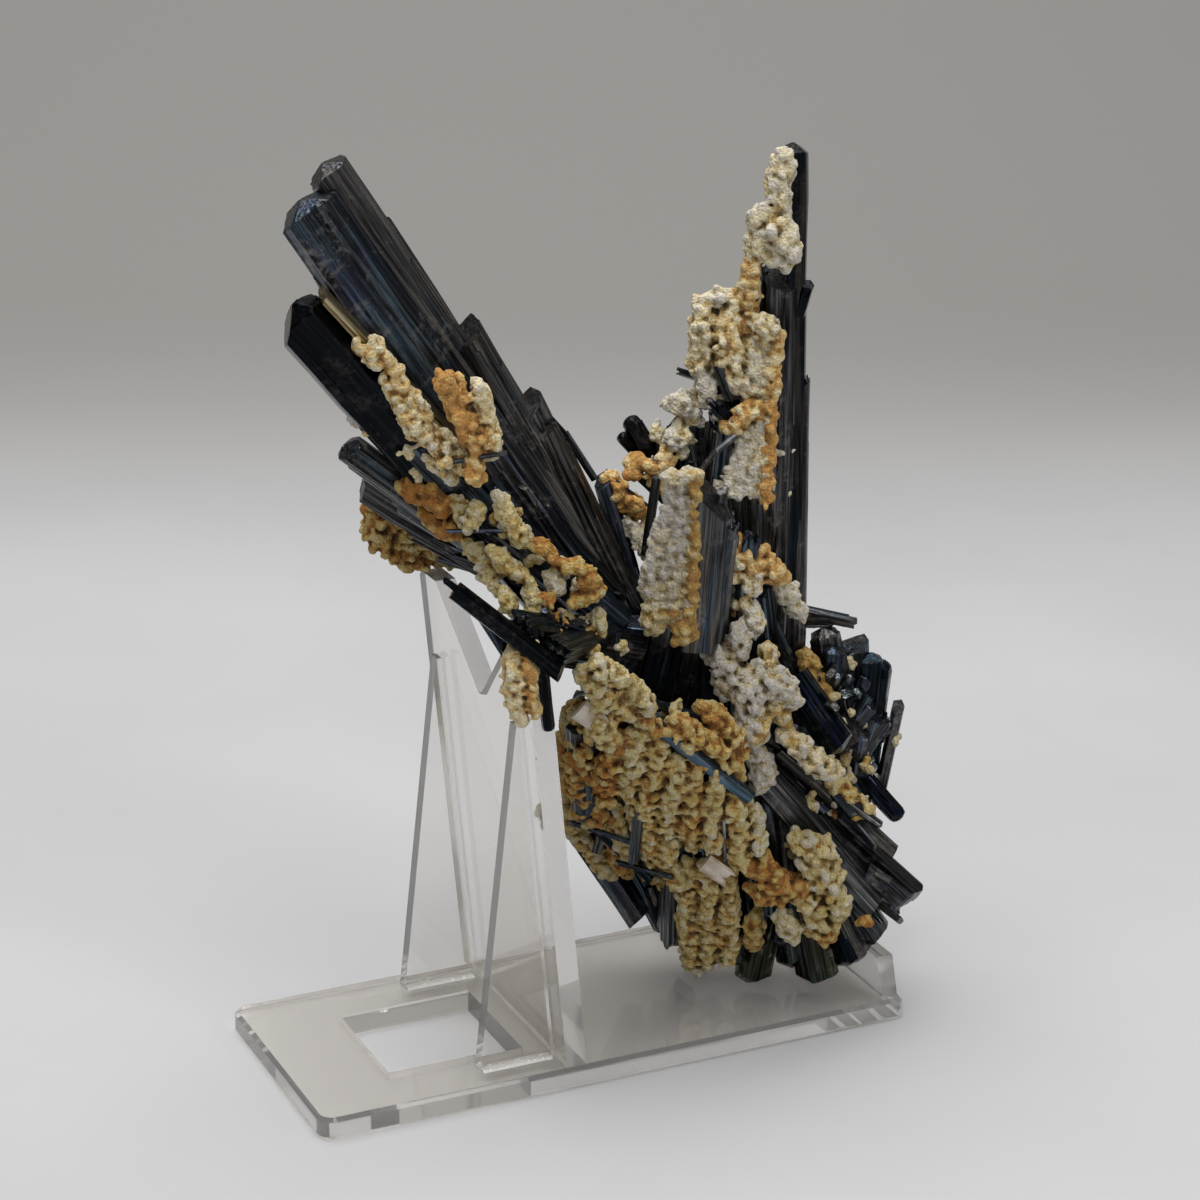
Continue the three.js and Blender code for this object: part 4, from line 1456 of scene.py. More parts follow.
ROOT = CrystalGroup("root_bundle", "root_cluster", 17, (
    Blade((2, -4, 84), (-10, 3, 34), 15.0, 20.0, BROKEN, 10, tint=0.2),
    Blade((6, 2, 84), (5, 4, 14), 17.0, 23.0, BROKEN, 10, tint=0.2),
    Blade((12, 4, 84), (21, 4, 16), 16.0, 21.0, BROKEN, 10, tint=0.2),
    Blade((14, 6, 76), (34, 6, 36), 14.0, 16.0, BROKEN, 10, tint=0.2),
    Blade((-1, -6, 84), (-8, -14, 56), 13.0, 10.0, BROKEN, 4, tint=0.2, finish=GLOSSY),
    Blade((-5, -25, 68), (-2, -13, 38), 13.0, 5.0, BROKEN, 6, tint=0.2),
    Blade((7, -18.5, 64), (8, -12, 36), 12.0, 6.0, BROKEN, 6, tint=0.2),
    Blade((-15, -27, 68), (-14, -14, 44), 9.0, 4.0, BROKEN, 5, tint=0.3),
    Blade((22, -11, 71), (31.5, -15.5, 58.5), 6.6, 6.2, CHISEL, 5, 20, tint=0.3, finish=GLOSSY),
    Blade((14, -9, 54), (40, -8, 23), 6.4, 5.0, SLANT, 5, tint=0.35, finish=GREY),
    Blade((20, -6, 55), (43, -5, 33), 3.2, 3.4, SLANT, 1, 10, tint=0.05, finish=GREY),
    Blade((16, -4, 52), (46.5, 0, 21), 8.0, 8.0, CHISEL, 7, tint=0.55),
    Blade((18, -1, 50), (37, -2, 9.5), 8.0, 7.5, CHISEL, 6, 15, tint=0.5, finish=GREY),
    Blade((24, -3, 40), (41, -4, 15), 5.5, 6.0, SLANT, 4, -10, tint=0.6),
    Blade((18, 7, 79), (35, 6, 75.5), 2.6, 3.0, BROKEN, 5, tint=0.1),
    Blade((20, 7, 76), (31, 6, 76), 3.2, 3.0, BROKEN, 3, tint=0.1),
    Blade((33, 5, 56), (28.5, 4, 75.5), 6.4, 5.4, CHISEL, 5, 10, tint=0.1),
    Blade((36, 10, 44), (34, 9, 71.5), 7.4, 6.4, SLANT, 5, -8, tint=0.2),
    Blade((38, 10, 44), (40, 9, 67), 5.0, 6.0, ROUND, 4, tint=0.3, finish=GLOSSY),
    Blade((40, 9, 38), (43.5, 9, 58.5), 2.6, 5.0, SLANT, 4, tint=0.0),
    Blade((36, 7, 40), (38, 8, 69), 5.4, 5.0, CHISEL, 3, tint=0.3, finish=GLOSSY),
    Blade((36, 4, 46), (44, 3, 37), 4.0, 3.6, ROUND, 3, tint=0.4, finish=GLOSSY),
    Blade((14, -22, 52), (-3, -29.5, 69), 3.2, 2.2, SLANT, 2, tint=0.3, finish=RAINBOW),
    Blade((12, -19.5, 65), (-6, -27, 73), 2.0, 2.0, SLANT, 2, tint=0.3),
    Blade((9, -21, 54), (10, -18, 36), 1.1, 1.1, SLANT, tint=0.0, finish=BRIGHT),
    Blade((21, 0, 30), (15.5, -3, 5.2), 8.0, 5.6, CHISEL, 2, 28, tint=0.15, finish=OLIVE),
    Blade((20, 0, 30), (23.5, -4, 9), 5.4, 4.4, CHISEL, 1, 50, tint=0.3, finish=OLIVE),
    Blade((23, -1, 34), (29, -3, 5.6), 9.4, 7.0, CHISEL, 2, -22, tint=0.15, finish=OLIVE),
    Blade((25, -1, 32), (34.5, -4, 9.5), 6.0, 5.0, CHISEL, 1, 35, tint=0.25, finish=GLOSSY),
    Blade((28, 0, 34), (39, -4, 15), 6.4, 5.4, CHISEL, 2, 15, tint=0.2),
    Blade((15, 0, 30), (11.5, -5, 9), 4.5, 4.2, SLANT, 1, 30, tint=0.2, finish=OLIVE),
    Blade((-20, 3, 40), (-4.5, 4, 14.5), 6.0, 5.0, SLANT, 3, 20, tint=0.3),
    Blade((-14, 6, 42), (1, 6, 12), 7.0, 6.0, CHISEL, 3, -15, tint=0.3),
    Blade((-13, 12, 34), (-6, 12, 15), 5.0, 4.0, CHISEL, 2, 20, tint=0.2),
    Blade((-4, 10, 32), (4, 8, 9), 6.0, 5.6, SLANT, 3, tint=0.3),
    Blade((-6.8, -17.5, 41), (-19.2, -13, 43.5), 1.5, 1.2, BROKEN, tint=0.3),
    Blade((0.3, -18, 34.5), (-10.3, -12.5, 35), 1.4, 1.2, BROKEN, tint=0.3),
    Blade((-6, -23, 50), (-7, -20, 38), 2.2, 1.6, BROKEN, tint=0.3),
    Blade((-14, -8, 40), (-3, -6, 28), 2.4, 2.0, SLANT, 1, tint=0.2, finish=GLOSSY),
    Blade((6.0, -19.6, 38.0), (11.4, -19.2, 33.8), 4.2, 1.2, BROKEN, tint=0.3, finish=FLAKE),
    Blade((-16.8, -35.0, 74.4), (-11.8, -33.2, 70.2), 4.6, 1.2, BROKEN, tint=0.3, finish=FLAKE),
), (
    Tuft((35, -2, 28), (0.75, -0.1, -0.5), 18, (4, 8), (3.0, 6.0), 0.3, 3.6),
    Tuft((32, 4, 53), (0.35, 0.0, 0.7), 18, (6, 10), (3.5, 7.0), 0.35, 2.8),
    Tuft((29, 5, 63), (0.2, 0.0, 0.8), 12, (5, 8), (3.0, 5.5), 0.3, 2.4),
    Tuft((33, 2, 50), (0.5, -0.4, 0.3), 7, (3, 5), (2.0, 4.0), 0.5, 2.2, finish=BRIGHT),
    Tuft((31, 1, 62), (0.3, -0.5, 0.5), 6, (3, 5), (1.5, 3.5), 0.5, 2.0, finish=BRIGHT),
    Tuft((24, -1, 60), (0.3, -0.5, 0.6), 16, (4, 8), (2.0, 4.5), 0.4, 4),
    Tuft((27, -4, 44), (0.7, -0.2, -0.6), 18, (6, 11), (2.0, 4.5), 0.12, 4),
    Tuft((19, -1, 18), (0.2, -0.1, -0.9), 12, (4, 7), (2.4, 4.6), 0.25, 4),
    Tuft((-3, 7, 27), (0.5, 0.1, -0.8), 14, (4, 7), (2.4, 5.0), 0.15, 3.5),
    Tuft((-9, 5, 40), (0.3, 0.1, -0.8), 14, (4, 7), (2.0, 4.6), 0.15, 3),
    Tuft((4, 12, 58), (-0.3, 0.5, 0.6), 30, (8, 14), (3.0, 6.0), 0.25, 8),
    Tuft((22, 12, 46), (0.5, 0.5, 0.2), 30, (7, 12), (3.0, 6.0), 0.3, 7),
    Tuft((8, 11, 28), (0.1, 0.4, -0.8), 26, (6, 11), (3.0, 5.5), 0.25, 7),
    Tuft((12, 9, 78), (0.0, 0.3, 0.9), 26, (8, 14), (2.4, 5.0), 0.2, 6),
))

BUNDLES = (ARM_BLADES, ARM_PRISMS, NEAR_RODS, SPIRE, CENTRE, SPRIG, ROOT)

CRUSTS = (
    CrustGroup("crust_arm_rows_detail", "crust_arm_rows", 31, (
        Run(((-51.5, -32, 140.5), (-47, -32, 133), (-43, -31.5, 127)), 1.2, 0.55),
        Run(((-54.5, -33, 140.5), (-51.5, -33, 136.5)), 0.96, 0.5),
        Run(((-50, -32, 133.5), (-44, -32, 124), (-36.5, -31, 117)), 1.4, 0.42),
        Run(((-47, -32, 130), (-40.5, -31.5, 121)), 1.3, 0.36),
        Run(((-42, -31, 119), (-38.5, -31, 115)), 1.4, 0.4),
        Run(((-40, -34, 134.5), (-37, -33.5, 129), (-33.5, -32.5, 120.5)), 2, 0.84, 0.95),
        Run(((-34, -33, 133), (-32.5, -33, 128), (-31, -32, 121)), 1.3, 0.38),
        Run(((-44, -30, 124), (-36, -30, 120), (-32, -29, 119)), 1.4, 0.35),
        Run(((-35.5, -34, 119.5), (-34, -34, 116)), 1.5, 0.76, 0.9),
    ), crumbs=(
        Crumbs((-45, -28, 124), (12, 8, 12), 26, 0.4, (0.4, 0.9)),
    ), stain=Stain.PEACH),
    CrustGroup("crust_arm_underside_detail", "crust_arm_underside", 32, (
        Run(((-55, -3, 101), (-53, -1, 96), (-50, 2, 91), (-45, 5, 87), (-37, 7, 84.5)), 2.6,
            0.62, 1.0),
        Run(((-52, -2, 100), (-47, 2, 94), (-40, 5, 89)), 2.6, 0.45, 1.0),
        Run(((-50, 4, 98), (-43, 8, 92), (-36, 9, 88)), 2.9, 0.5, 1.1),
    )),
    CrustGroup("crust_arm_mass_detail", "crust_arm_mass", 33, (
        Run(((-47, -26, 113), (-43, -27, 112), (-40, -28, 109)), 2.4, 0.74, 1.0),
        Run(((-44, -25, 108), (-38, -27, 104)), 2, 0.78, 0.9),
        Run(((-38, -29, 111), (-36, -30, 107)), 1.8, 0.4),
        Run(((-34, -32, 111), (-36, -32, 107)), 1.5, 0.35),
        Run(((-31, -33, 113), (-28, -33, 108), (-26, -32, 104)), 1.6, 0.36),
        Run(((-24, -32, 104), (-21, -32, 101)), 1.3, 0.74),
        Run(((-32, -32, 103), (-29, -33, 100), (-26, -33, 98)), 1.5, 0.42),
        Run(((-20, -31, 100), (-15.5, -31, 98.5), (-14, -30, 94), (-18, -32, 93)), 1.8, 0.66,
            0.9),
        Run(((-22, -31, 98), (-20, -32, 95)), 1.6, 0.2),
        Run(((-30, -34, 96), (-28.5, -34, 92)), 1.3, 0.42),
        Run(((-25, -34, 97), (-25, -35, 90)), 1.3, 0.3),
        Run(((-23.5, -34, 94.5), (-21.5, -34, 94)), 1.2, 0.8),
        Run(((-21, -33, 90.5), (-19.5, -33, 90)), 1.3, 0.82),
        Run(((-13.5, -29, 90.5), (-13, -29, 86)), 1.3, 0.36),
        Run(((-10, -28, 83.6), (-9.5, -28, 83)), 1.1, 0.4),
        Run(((-22, -33, 88), (-17, -33, 85), (-14, -32, 84)), 1.5, 0.55),
        Run(((-36, -28, 103), (-31, -30, 98)), 1.5, 0.4),
        Run(((-34, -30, 99), (-31, -32, 95)), 1.3, 0.3),
    ), crumbs=(
        Crumbs((-28, -28, 102), (11, 9, 9), 20, 0.42, (0.5, 1.1)),
        Crumbs((-18, -28, 92), (9, 9, 8), 14, 0.5, (0.5, 1.1)),
    )),
    CrustGroup("crust_near_rods_detail", "crust_near_rods", 34, (
        Run(((-28.6, -42.5, 88), (-26.8, -43, 75)), 1.7, 0.4),
        Run(((-25.4, -43.5, 87), (-24.2, -43.5, 76.5)), 1.1, 0.7, 0.6),
        Run(((-28, -42, 88), (-24, -42, 89)), 1.4, 0.6),
    ), stain=Stain.PEACH),
    CrustGroup("crust_spire_detail", "crust_spire", 35, (
        Run(((18.9, -2, 166.5), (18.7, -2, 157), (18.7, -2.5, 154)), 2.2, 0.22),
        Run(((15.2, -2, 156), (14.2, -2, 147)), 2.0, 0.28),
        Run(((14.2, -2, 147), (12, -2, 134)), 2.1, 0.54),
        Run(((15, -2.5, 155.5), (18, -3.5, 152), (21, -4, 149)), 3.0, 0.22, 1.1),
        Run(((15.5, -3, 151), (20, -4, 147)), 2.0, 0.18, 0.9),
        Run(((21.4, -5, 149.2), (21.6, -5, 148.4)), 2.0, 0.16, 0.9),
        Run(((5.6, -2, 140), (4.8, -2.5, 133), (5, -3, 126.5)), 2.2, 0.36, 0.8),
        Run(((6, -2, 140), (10, -2, 140)), 1.7, 0.28),
        Run(((10, -2.4, 139), (10, -3, 133), (10, -4, 126)), 2.5, 0.41, 0.85),
        Run(((10, -4, 126), (13, -4, 124)), 2.1, 0.21),
        Run(((5, -3, 126.5), (6.5, -3, 121)), 1.6, 0.06),
        Run(((9, -7, 117), (12, -6.5, 119.5), (16, -6, 121)), 1.7, 0.64, 0.8),
        Run(((14.5, -3.5, 136.5), (18.5, -4, 134)), 2.1, 0.36),
    ), (
        Sheet(((13.6, -3, 136), (19, -4, 134), (17.6, -5, 121), (12.5, -5, 121)), 0.22, 0.62,
              rim_knob=0.9),
        Sheet(((12.5, -5, 121), (17.6, -5, 121), (16.8, -8, 104), (8, -8, 104)), 0.05, 0.8,
              rim_knob=0.9),
        Sheet(((12, -3, 121), (9, -3, 118), (4, -6, 104), (8, -7, 104)), 0.1, None),
        Sheet(((5, -1.5, 139), (13, -1.5, 139), (13, -2.5, 124), (5, -2, 124)), 0.35, None),
    ), (
        Crumbs((20.5, -1, 108), (2.5, 3, 14), 8, 0.15, (0.3, 0.6)),
        Crumbs((7, -3, 126), (6, 5, 8), 12, 0.3, (0.5, 0.9)),
    ), stain=Stain.PEACH),
    CrustGroup("crust_sprig_cluster_detail", "crust_sprig_cluster", 36, (
        Run(((-6.3, -4, 111), (-7, -5, 108)), 1.9, 0.74, 1.0),
        Run(((-1.5, -4, 112), (-2, -5, 109)), 1.9, 0.6, 1.0),
        Run(((-4, -4.5, 110), (-1, -5, 105)), 1.7, 0.62, 0.9),
        Run(((0, -4, 116), (2, -4, 112)), 1.9, 0.1),
        Run(((-1.5, -2, 120.5), (1, -3, 121.5), (5, -3, 117)), 1.7, 0.15),
        Run(((1, -3, 117), (4, -3.5, 114)), 1.7, 0.25),
    ), crumbs=(
        Crumbs((1, -3, 114), (6, 5, 8), 16, 0.3, (0.5, 0.9)),
    ), stain=Stain.PEACH),
    CrustGroup("crust_sprig_rod_detail", "crust_sprig_rod", 37, (
        Run(((-12, -8, 108.3), (-8.5, -7.5, 104.5), (-5, -6.5, 101.5)), 1.9, 0.78, 0.9),
        Run(((-8.5, -8, 99.8), (-6, -8, 97), (-4.5, -9, 94)), 1.7, 0.15),
    ), stain=Stain.PEACH),
    CrustGroup("crust_spire_foot_detail", "crust_spire_foot", 38, (
        Run(((11, -10, 97), (13, -10, 94), (16, -10, 92.5), (20, -9, 89.5)), 2.3, 0.66, 1.0),
        Run(((13, -10.5, 92), (15, -11, 88)), 1.7, 0.3),
        Run(((19, -7, 88), (22, -4, 84), (24, -3, 80)), 1.6, 0.12),
        Run(((14, -11, 85), (15, -12, 80)), 1.8, 0.15),
    ), crumbs=(
        Crumbs((16, -7, 88), (8, 8, 9), 26, 0.35, (0.5, 1.0)),
    ), stain=Stain.PEACH),
    CrustGroup("crust_left_flank_detail", "crust_left_flank", 39, (
        Run(((-19, -34, 77), (-19.5, -26, 67), (-19, -18, 58)), 2.2, 0.55, 0.9, 0.12),
        Run(((-16, -32, 70), (-17, -24, 60), (-17, -16, 50)), 2.5, 0.66, 1.0, 0.2),
        Run(((-19, -14, 56), (-19, -10, 46), (-17, -5, 36)), 2.2, 0.42, 1.0, 0.3),
        Run(((-13, -24, 60), (-13, -18, 52), (-12, -12, 44)), 2.6, 0.74, 1.0, 0.2),
        Run(((-16, -4, 38), (-14, 0, 31), (-11, 3, 26)), 2.1, 0.42, 0.9, 0.2),
        Run(((-12, -8, 42), (-10, -4, 34), (-8, 0, 27)), 1.8, 0.62, 0.9, 0.35),
        Run(((-5, -6, 40), (-3, -4, 32), (0, -2, 25)), 2.1, 0.6, 0.9, 0.3),
        Run(((-16, -8, 64), (-18, 0, 54), (-17, 6, 44)), 3.4, 0.5, 1.2, 0.2),
    ), crumbs=(
        Crumbs((-12, -8, 44), (9, 14, 16), 40, 0.5, (0.5, 1.2)),
    )),
    CrustGroup("crust_lobe_detail", "crust_lobe", 40, (
        Run(((23, -14.5, 41), (28, -14.5, 37), (31, -13.5, 33)), 2.4, 0.34, 0.95),
        Run(((24, -14.5, 36), (29, -14, 32), (31.5, -12.5, 27), (31, -11, 22)), 2.6, 0.3, 0.95),
        Run(((23, -14, 30), (27, -13, 26), (28, -11, 20)), 2.3, 0.42, 0.9),
        Run(((21, -14, 25), (23, -12, 19)), 1.8, 0.25, 0.8),
        Run(((14, -16, 35.5), (17, -16, 36), (21, -15, 31), (25, -14, 30)), 2.3, 0.76, 0.95),
        Run(((30.5, -12, 21), (29, -11, 18)), 1.7, 0.75),
        Run(((15, -15, 31), (20, -14, 28)), 1.8, 0.66, 0.9),
        Run(((36, -10.6, 22.5), (37.2, -10.4, 22)), 1.3, 0.85),
        Run(((30, -6.5, 48), (33, -6, 45), (36, -5.5, 44)), 1.7, 0.55, 0.8, 0.2),
    ), crumbs=(
        Crumbs((30, -5, 47), (9, 8, 8), 18, 0.5, (0.5, 1.0)),
        Crumbs((24, -8, 26), (10, 7, 10), 18, 0.4, (0.5, 1.0)),
    )),
    CrustGroup("crust_curtain_detail", "crust_curtain", 41, (
        Run(((-17, -36.5, 82), (-12, -34, 76), (-8, -31, 72)), 2.2, 0.42, 0.8, 0.1),
        Run(((-14, -36.5, 84), (-9, -34, 79), (-4, -31, 73)), 2.0, 0.35, 0.75, 0.12),
        Run(((-16.5, -35, 76), (-12, -31, 68), (-10, -28, 64)), 2.2, 0.5, 0.8, 0.15),
        Run(((-10, -31, 76), (-6, -30, 72), (-3, -28.5, 68)), 2.1, 0.56, 0.8, 0.12),
        Run(((-6, -30, 70), (-8, -26, 60), (-8, -22, 52)), 2.3, 0.36, 0.75, 0.22),
        Run(((-10, -30, 68), (-12, -25, 58), (-12, -20, 50)), 2.3, 0.72, 0.8, 0.2),
        Run(((-2, -28, 66), (-4, -25, 57), (-5, -20, 47), (-4, -16, 39)), 2.1, 0.5, 0.75, 0.2),
        Run(((1, -26.5, 62), (0, -24, 55), (-1, -20, 47), (0, -16, 38)), 2.0, 0.36, 0.75, 0.15),
        Run(((4.2, -25.5, 61), (3.5, -23, 53), (3, -20, 46), (4, -17, 40)), 1.8, 0.52, 0.75, 0.2),
        Run(((7.6, -24.5, 58), (7.4, -22, 51), (6.9, -20, 45), (7.4, -18, 40)), 1.8, 0.38, 0.75,
            0.15),
        Run(((12, -22, 53), (12, -20.5, 47), (12, -19, 42), (13, -17.5, 37)), 2.1, 0.45, 0.75,
            0.1),
        Run(((15, -19.5, 49), (15.5, -18.5, 44), (16, -18, 40)), 1.8, 0.2, 0.7, 0.15),
        Run(((0, -28, 70), (5, -26, 65), (9, -24, 61)), 2.0, 0.62, 0.8, 0.12),
        Run(((5, -23, 70), (9, -22, 66), (13, -20, 61)), 2.3, 0.66, 0.85, 0.15),
        Run(((10, -22, 60), (12, -21, 56)), 2.0, 0.6, 0.8, 0.1),
        Run(((-2, -18, 42), (-1, -15, 36)), 2.0, 0.5, 0.8, 0.1),
        Run(((-6, -26, 62), (-5, -23, 54)), 1.6, 0.5, 0.75, 0.1),
        Run(((-7, -20, 50), (-5, -16, 42), (-2, -13, 33)), 1.7, 0.45, 0.75, 0.15),
        Run(((-3, -17.5, 44), (0, -15, 36), (2, -13, 30)), 1.8, 0.5, 0.75, 0.15),
        Run(((9, -18.5, 46), (9.5, -17, 40), (10, -15.5, 35)), 1.6, 0.66, 0.75, 0.1),
        Run(((-10, -17, 48), (-9, -13, 40), (-7, -9, 33)), 1.6, 0.4, 0.75, 0.2),
    ), (
        Sheet(((-13, -30.5, 75), (-3, -26, 68), (-3, -19.5, 52), (-11, -20.5, 54)), 0.5, None,
              0.7, 1.2),
    ), (
        Crumbs((0, -24, 58), (15, 8, 18), 30, 0.42, (0.5, 1.0)),
    )),
    CrustGroup("crust_hanging_column_detail", "crust_hanging_column", 42, (
        Run(((3, -14.5, 36), (3.5, -9, 23), (4, -4.5, 9.5)), 2.0, 0.4, 0.75, 0.05),
        Run(((6.5, -15, 36), (7, -9.5, 23), (7.5, -5, 10.5)), 2.0, 0.38, 0.75, 0.05),
        Run(((10.5, -15, 35), (11, -10, 23), (11.2, -5.5, 11.5)), 1.9, 0.42, 0.75, 0.05),
        Run(((5, -4.8, 9), (6, -4.8, 8.6)), 1.7, 0.1, 0.8),
        Run(((16, -10, 24), (16, -7, 15)), 1.6, 0.65, 0.8, 0.2),
    )),
    CrustGroup("crust_centre_face_detail", "crust_centre_face", 43, (
        Run(((-1.5, -26.8, 114.5), (3.5, -27, 115)), 1.4, 0.3),
        Run(((-4, -22, 90), (-3, -21, 84)), 2.0, 0.4, 0.9),
        Run(((0, -21.8, 88), (2, -21, 83)), 2.4, 0.62, 1.0),
        Run(((-2.5, -25, 106), (-4.2, -23.3, 96), (-4.5, -22, 90)), 1.3, 0.1, 0.7),
    ), (
        Sheet(((-2, -27, 114), (3.6, -27.2, 115), (3.6, -24.3, 99), (-4, -24, 99)), 0.02, 0.68,
              0.6, 0.9, 0.9),
        Sheet(((-4, -24, 100), (3.6, -24.3, 100), (2.5, -21.5, 83), (-5, -22, 87)), 0.1, 0.72,
              0.65, 1.0, 1.0),
    ), stain=Stain.WHITE),
    CrustGroup("crust_white_mass_detail", "crust_white_mass", 44, (
        Run(((6.5, -16, 80), (10, -16.5, 77), (10, -17, 71)), 3.2, 0.1, 0.95),
        Run(((12, -16.5, 83), (12.5, -17, 78)), 2.0, 0.1, 0.8),
        Run(((17, -16.5, 79), (18, -17, 75)), 1.8, 0.5, 0.8),
        Run(((15, -18, 76), (18.5, -18, 73), (22, -17.5, 69)), 2.8, 0.12, 0.95),
        Run(((14, -18.5, 74), (13.5, -19, 67), (14.5, -19, 62)), 3.0, 0.06, 0.95),
        Run(((16, -20, 67), (14.5, -20, 63)), 2.2, 0.55, 0.95),
        Run(((15.5, -18, 60), (16.5, -17, 55), (16, -16, 51)), 2.0, 0.1, 0.8),
        Run(((20, -18, 63.5), (25, -18.5, 58), (30, -18, 55.5)), 2.1, 0.3, 0.85),
        Run(((18.5, -18, 70), (20, -18, 65)), 1.9, 0.45, 0.9),
        Run(((25, 1, 71), (27, 0, 66), (29, 0, 61)), 1.9, 0.7, 0.8, 0.1),
    ), crumbs=(
        Crumbs((30, 4, 62), (9, 9, 12), 26, 0.4, (0.5, 1.0)),
        Crumbs((36, 6, 48), (9, 9, 10), 18, 0.45, (0.5, 1.0)),
    ), stain=Stain.WHITE),
)


# ---- the easel ----------------------------------------------------------------------------
@dataclass(frozen=True)
class Easel:
    """The clear easel: four CAD plates with softened edges, glued with clear solvent cement.

    plates gives the axis, as 0, 1 or 2, that each plate's two broad faces look along. edge_mm
    rounds the plates' edges, and bead_mm is the size of a bead of cement.
    """

    plates: tuple[tuple[str, int], ...] = (
        ("easel_base", 2), ("easel_backrest", 0),
        ("easel_gusset_near", 1), ("easel_gusset_far", 1),
    )
    edge_mm: float = 0.25
    edge_segments: int = 2
    bead_mm: float = 0.45
    bead_section: tuple[tuple[float, float], ...] = (
        (-0.2, -0.2), (1.0, -0.2), (0.3, 0.3), (-0.2, 1.0),
    )

    def build(self) -> None:
        """Dress the plates and lay the beads of cement."""
        self.dress()
        self.cement(SolventCement().make())

    def dress(self) -> None:
        """Give each plate its acrylic and a small round on its edges."""
        for name, axis in self.plates:
            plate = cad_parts[name]
            acrylic = ClearAcrylic("clear_acrylic_" + "xyz"[axis] + name[5:], axis).make()
            for slot in plate.material_slots:
                slot.material = acrylic
            bevel = plate.modifiers.new("edge", "BEVEL")
            bevel.width = self.edge_mm * MM
            bevel.segments = self.edge_segments
            bevel.angle_limit = math.radians(25)
            LOG.info("%s: dressed", name)

    def cement(self, finish: bpy.types.Material) -> None:
        """Lay a bead of cement in the corner along each side of the gussets' feet.

        Args:
            finish: what the beads wear.
        """
        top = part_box("easel_backrest")[0].z
        bead = self.bead_mm * MM
        ring = np.array(self.bead_section) * bead
        buffer = MeshBuffer()
        for name in ("easel_gusset_near", "easel_gusset_far"):
            low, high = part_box(name)
            for face, side in ((low.y, -1), (high.y, 1)):
                shell = np.array([[end, face + side * out, top + up]
                                  for end in (low.x + bead, high.x - bead) for out, up in ring])
                faces = [[0, 1, 2, 3], [7, 6, 5, 4]]
                faces += [[(i + 1) % 4, i, i + 4, (i + 1) % 4 + 4] for i in range(4)]
                if side > 0:
                    faces = [face_points[::-1] for face_points in faces]
                buffer.add(shell, faces, shell / MM, 0.0)
        fit(buffer.build("easel_cement_beads", [finish]), None)


# ---- the studio ---------------------------------------------------------------------------
@dataclass(frozen=True)
class Lamp:
    """A square soft light, sized and placed in metres, with its power in watts."""

    name: str
    place: Point
    target: Point
    size: float
    power: float

    def hang(self) -> None:
        """Hang the light and turn it to its target."""
        data = bpy.data.lights.new(self.name, "AREA")
        data.shape = "SQUARE"
        data.size = self.size
        data.energy = self.power
        lamp = bpy.data.objects.new(self.name, data)
        lamp.location = self.place
        heading = Vector(self.target) - Vector(self.place)
        lamp.rotation_euler = heading.to_track_quat("-Z", "Y").to_euler()
        bpy.context.scene.collection.objects.link(lamp)


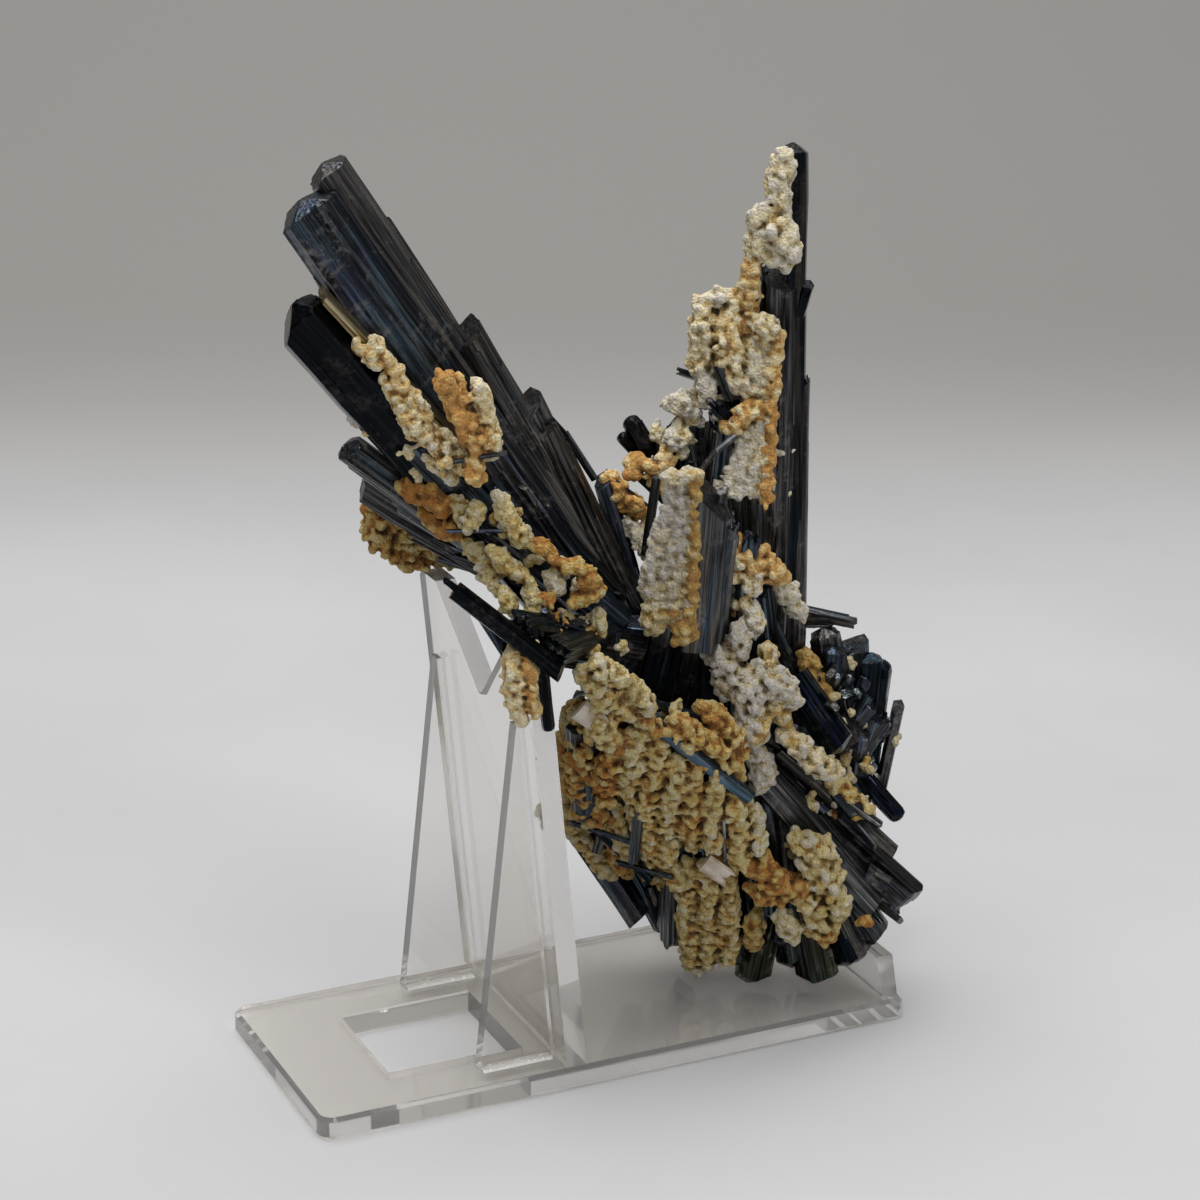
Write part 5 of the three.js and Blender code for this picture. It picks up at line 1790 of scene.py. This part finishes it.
@dataclass(frozen=True)
class Studio:
    """A pale floor that sweeps up into a grey background, under soft light from above.

    Its sizes are in metres.
    """

    floor_half: float = 1.5
    floor_level: float = -0.0001
    wide_share: float = 1.6
    sweep_start: float = 0.42
    sweep_radius: float = 0.35
    sweep_steps: int = 12
    sweep_height: float = 1.1
    air: str = "8c8c8f"
    air_strength: float = 0.46
    lamps: tuple[Lamp, ...] = (
        Lamp("key", (-0.08, 0.05, 0.95), (0.0, 0.0, 0.06), 1.0, 12.1),
        Lamp("front", (-0.45, -0.85, 0.75), (0.0, 0.0, 0.08), 0.25, 2.1),
        Lamp("side", (0.45, -0.75, 0.5), (0.0, 0.0, 0.06), 0.2, 1.6),
    )

    def build(self, paper: bpy.types.Material) -> None:
        """Build the sweep and the lights.

        Args:
            paper: what the sweep wears.
        """
        self.sweep(paper)
        for lamp in self.lamps:
            lamp.hang()
        world = bpy.data.worlds.new("studio_air")
        world.use_nodes = True
        background = world.node_tree.nodes["Background"]
        background.inputs["Color"].default_value = linear(self.air)
        background.inputs["Strength"].default_value = self.air_strength
        bpy.context.scene.world = world
        bpy.context.scene.view_settings.view_transform = "Standard"

    def sweep(self, paper: bpy.types.Material) -> None:
        """Build the floor and background as one curved sheet behind the part.

        Args:
            paper: what it wears.
        """
        profile = [(-self.floor_half, self.floor_level), (self.sweep_start, self.floor_level)]
        for step in range(1, self.sweep_steps + 1):
            bend = math.pi / 2 * step / self.sweep_steps
            profile.append((self.sweep_start + self.sweep_radius * math.sin(bend),
                            self.sweep_radius * (1 - math.cos(bend))))
        profile.append((self.sweep_start + self.sweep_radius, self.sweep_height))
        turn = Matrix.Rotation(math.radians(SPRAY.TURN_DEG), 4, "Z")
        points = [turn @ Vector((side * self.floor_half * self.wide_share, along, height))
                  for along, height in profile for side in (-1, 1)]
        faces = [[2 * i, 2 * i + 1, 2 * i + 3, 2 * i + 2] for i in range(len(profile) - 1)]
        mesh = bpy.data.meshes.new("studio_sweep")
        mesh.from_pydata([tuple(p) for p in points], [], faces)
        mesh.materials.append(paper)
        store(mesh, "reach", np.repeat([along + height for along, height in profile], 2))
        mesh.shade_smooth()
        floor = bpy.data.objects.new("studio_sweep", mesh)
        bpy.context.scene.collection.objects.link(floor)
        floor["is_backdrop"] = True


@dataclass(frozen=True)
class Viewpoint:
    """The camera: where it looks, from which side, how far off, and through which lens."""

    aim: Point = (0.01157, 0.01091, 0.08008)
    azimuth_deg: float = -24.67
    elevation_deg: float = 19.665
    distance: float = 0.62575
    lens_mm: float = 100.67
    sensor_mm: float = 36.0
    near_limit: float = 0.01

    def build(self) -> None:
        """Place the camera and make it the scene's."""
        a, e = math.radians(self.azimuth_deg), math.radians(self.elevation_deg)
        back = Vector((math.sin(a) * math.cos(e), -math.cos(a) * math.cos(e), math.sin(e)))
        data = bpy.data.cameras.new("viewpoint")
        data.lens = self.lens_mm
        data.sensor_width = self.sensor_mm
        data.clip_start = self.near_limit
        camera = bpy.data.objects.new("viewpoint", data)
        camera.location = Vector(self.aim) + self.distance * back
        camera.rotation_euler = back.to_track_quat("Z", "Y").to_euler()
        bpy.context.scene.collection.objects.link(camera)
        bpy.context.scene.camera = camera


def main() -> None:
    """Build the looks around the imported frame."""
    logging.basicConfig(level=logging.INFO, format="%(name)s: %(message)s")
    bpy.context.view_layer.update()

    finishes = [finish.value.make() for finish in CrystalFinish]
    crusts = {stain: stain.value.make() for stain in Stain}
    Easel().build()
    anchors = np.concatenate([bundle.build(finishes) for bundle in BUNDLES])
    for group in CRUSTS:
        group.build(crusts[group.stain], anchors)
    Studio().build(StudioPaper().make())
    Viewpoint().build()


if __name__ == "__main__":
    main()
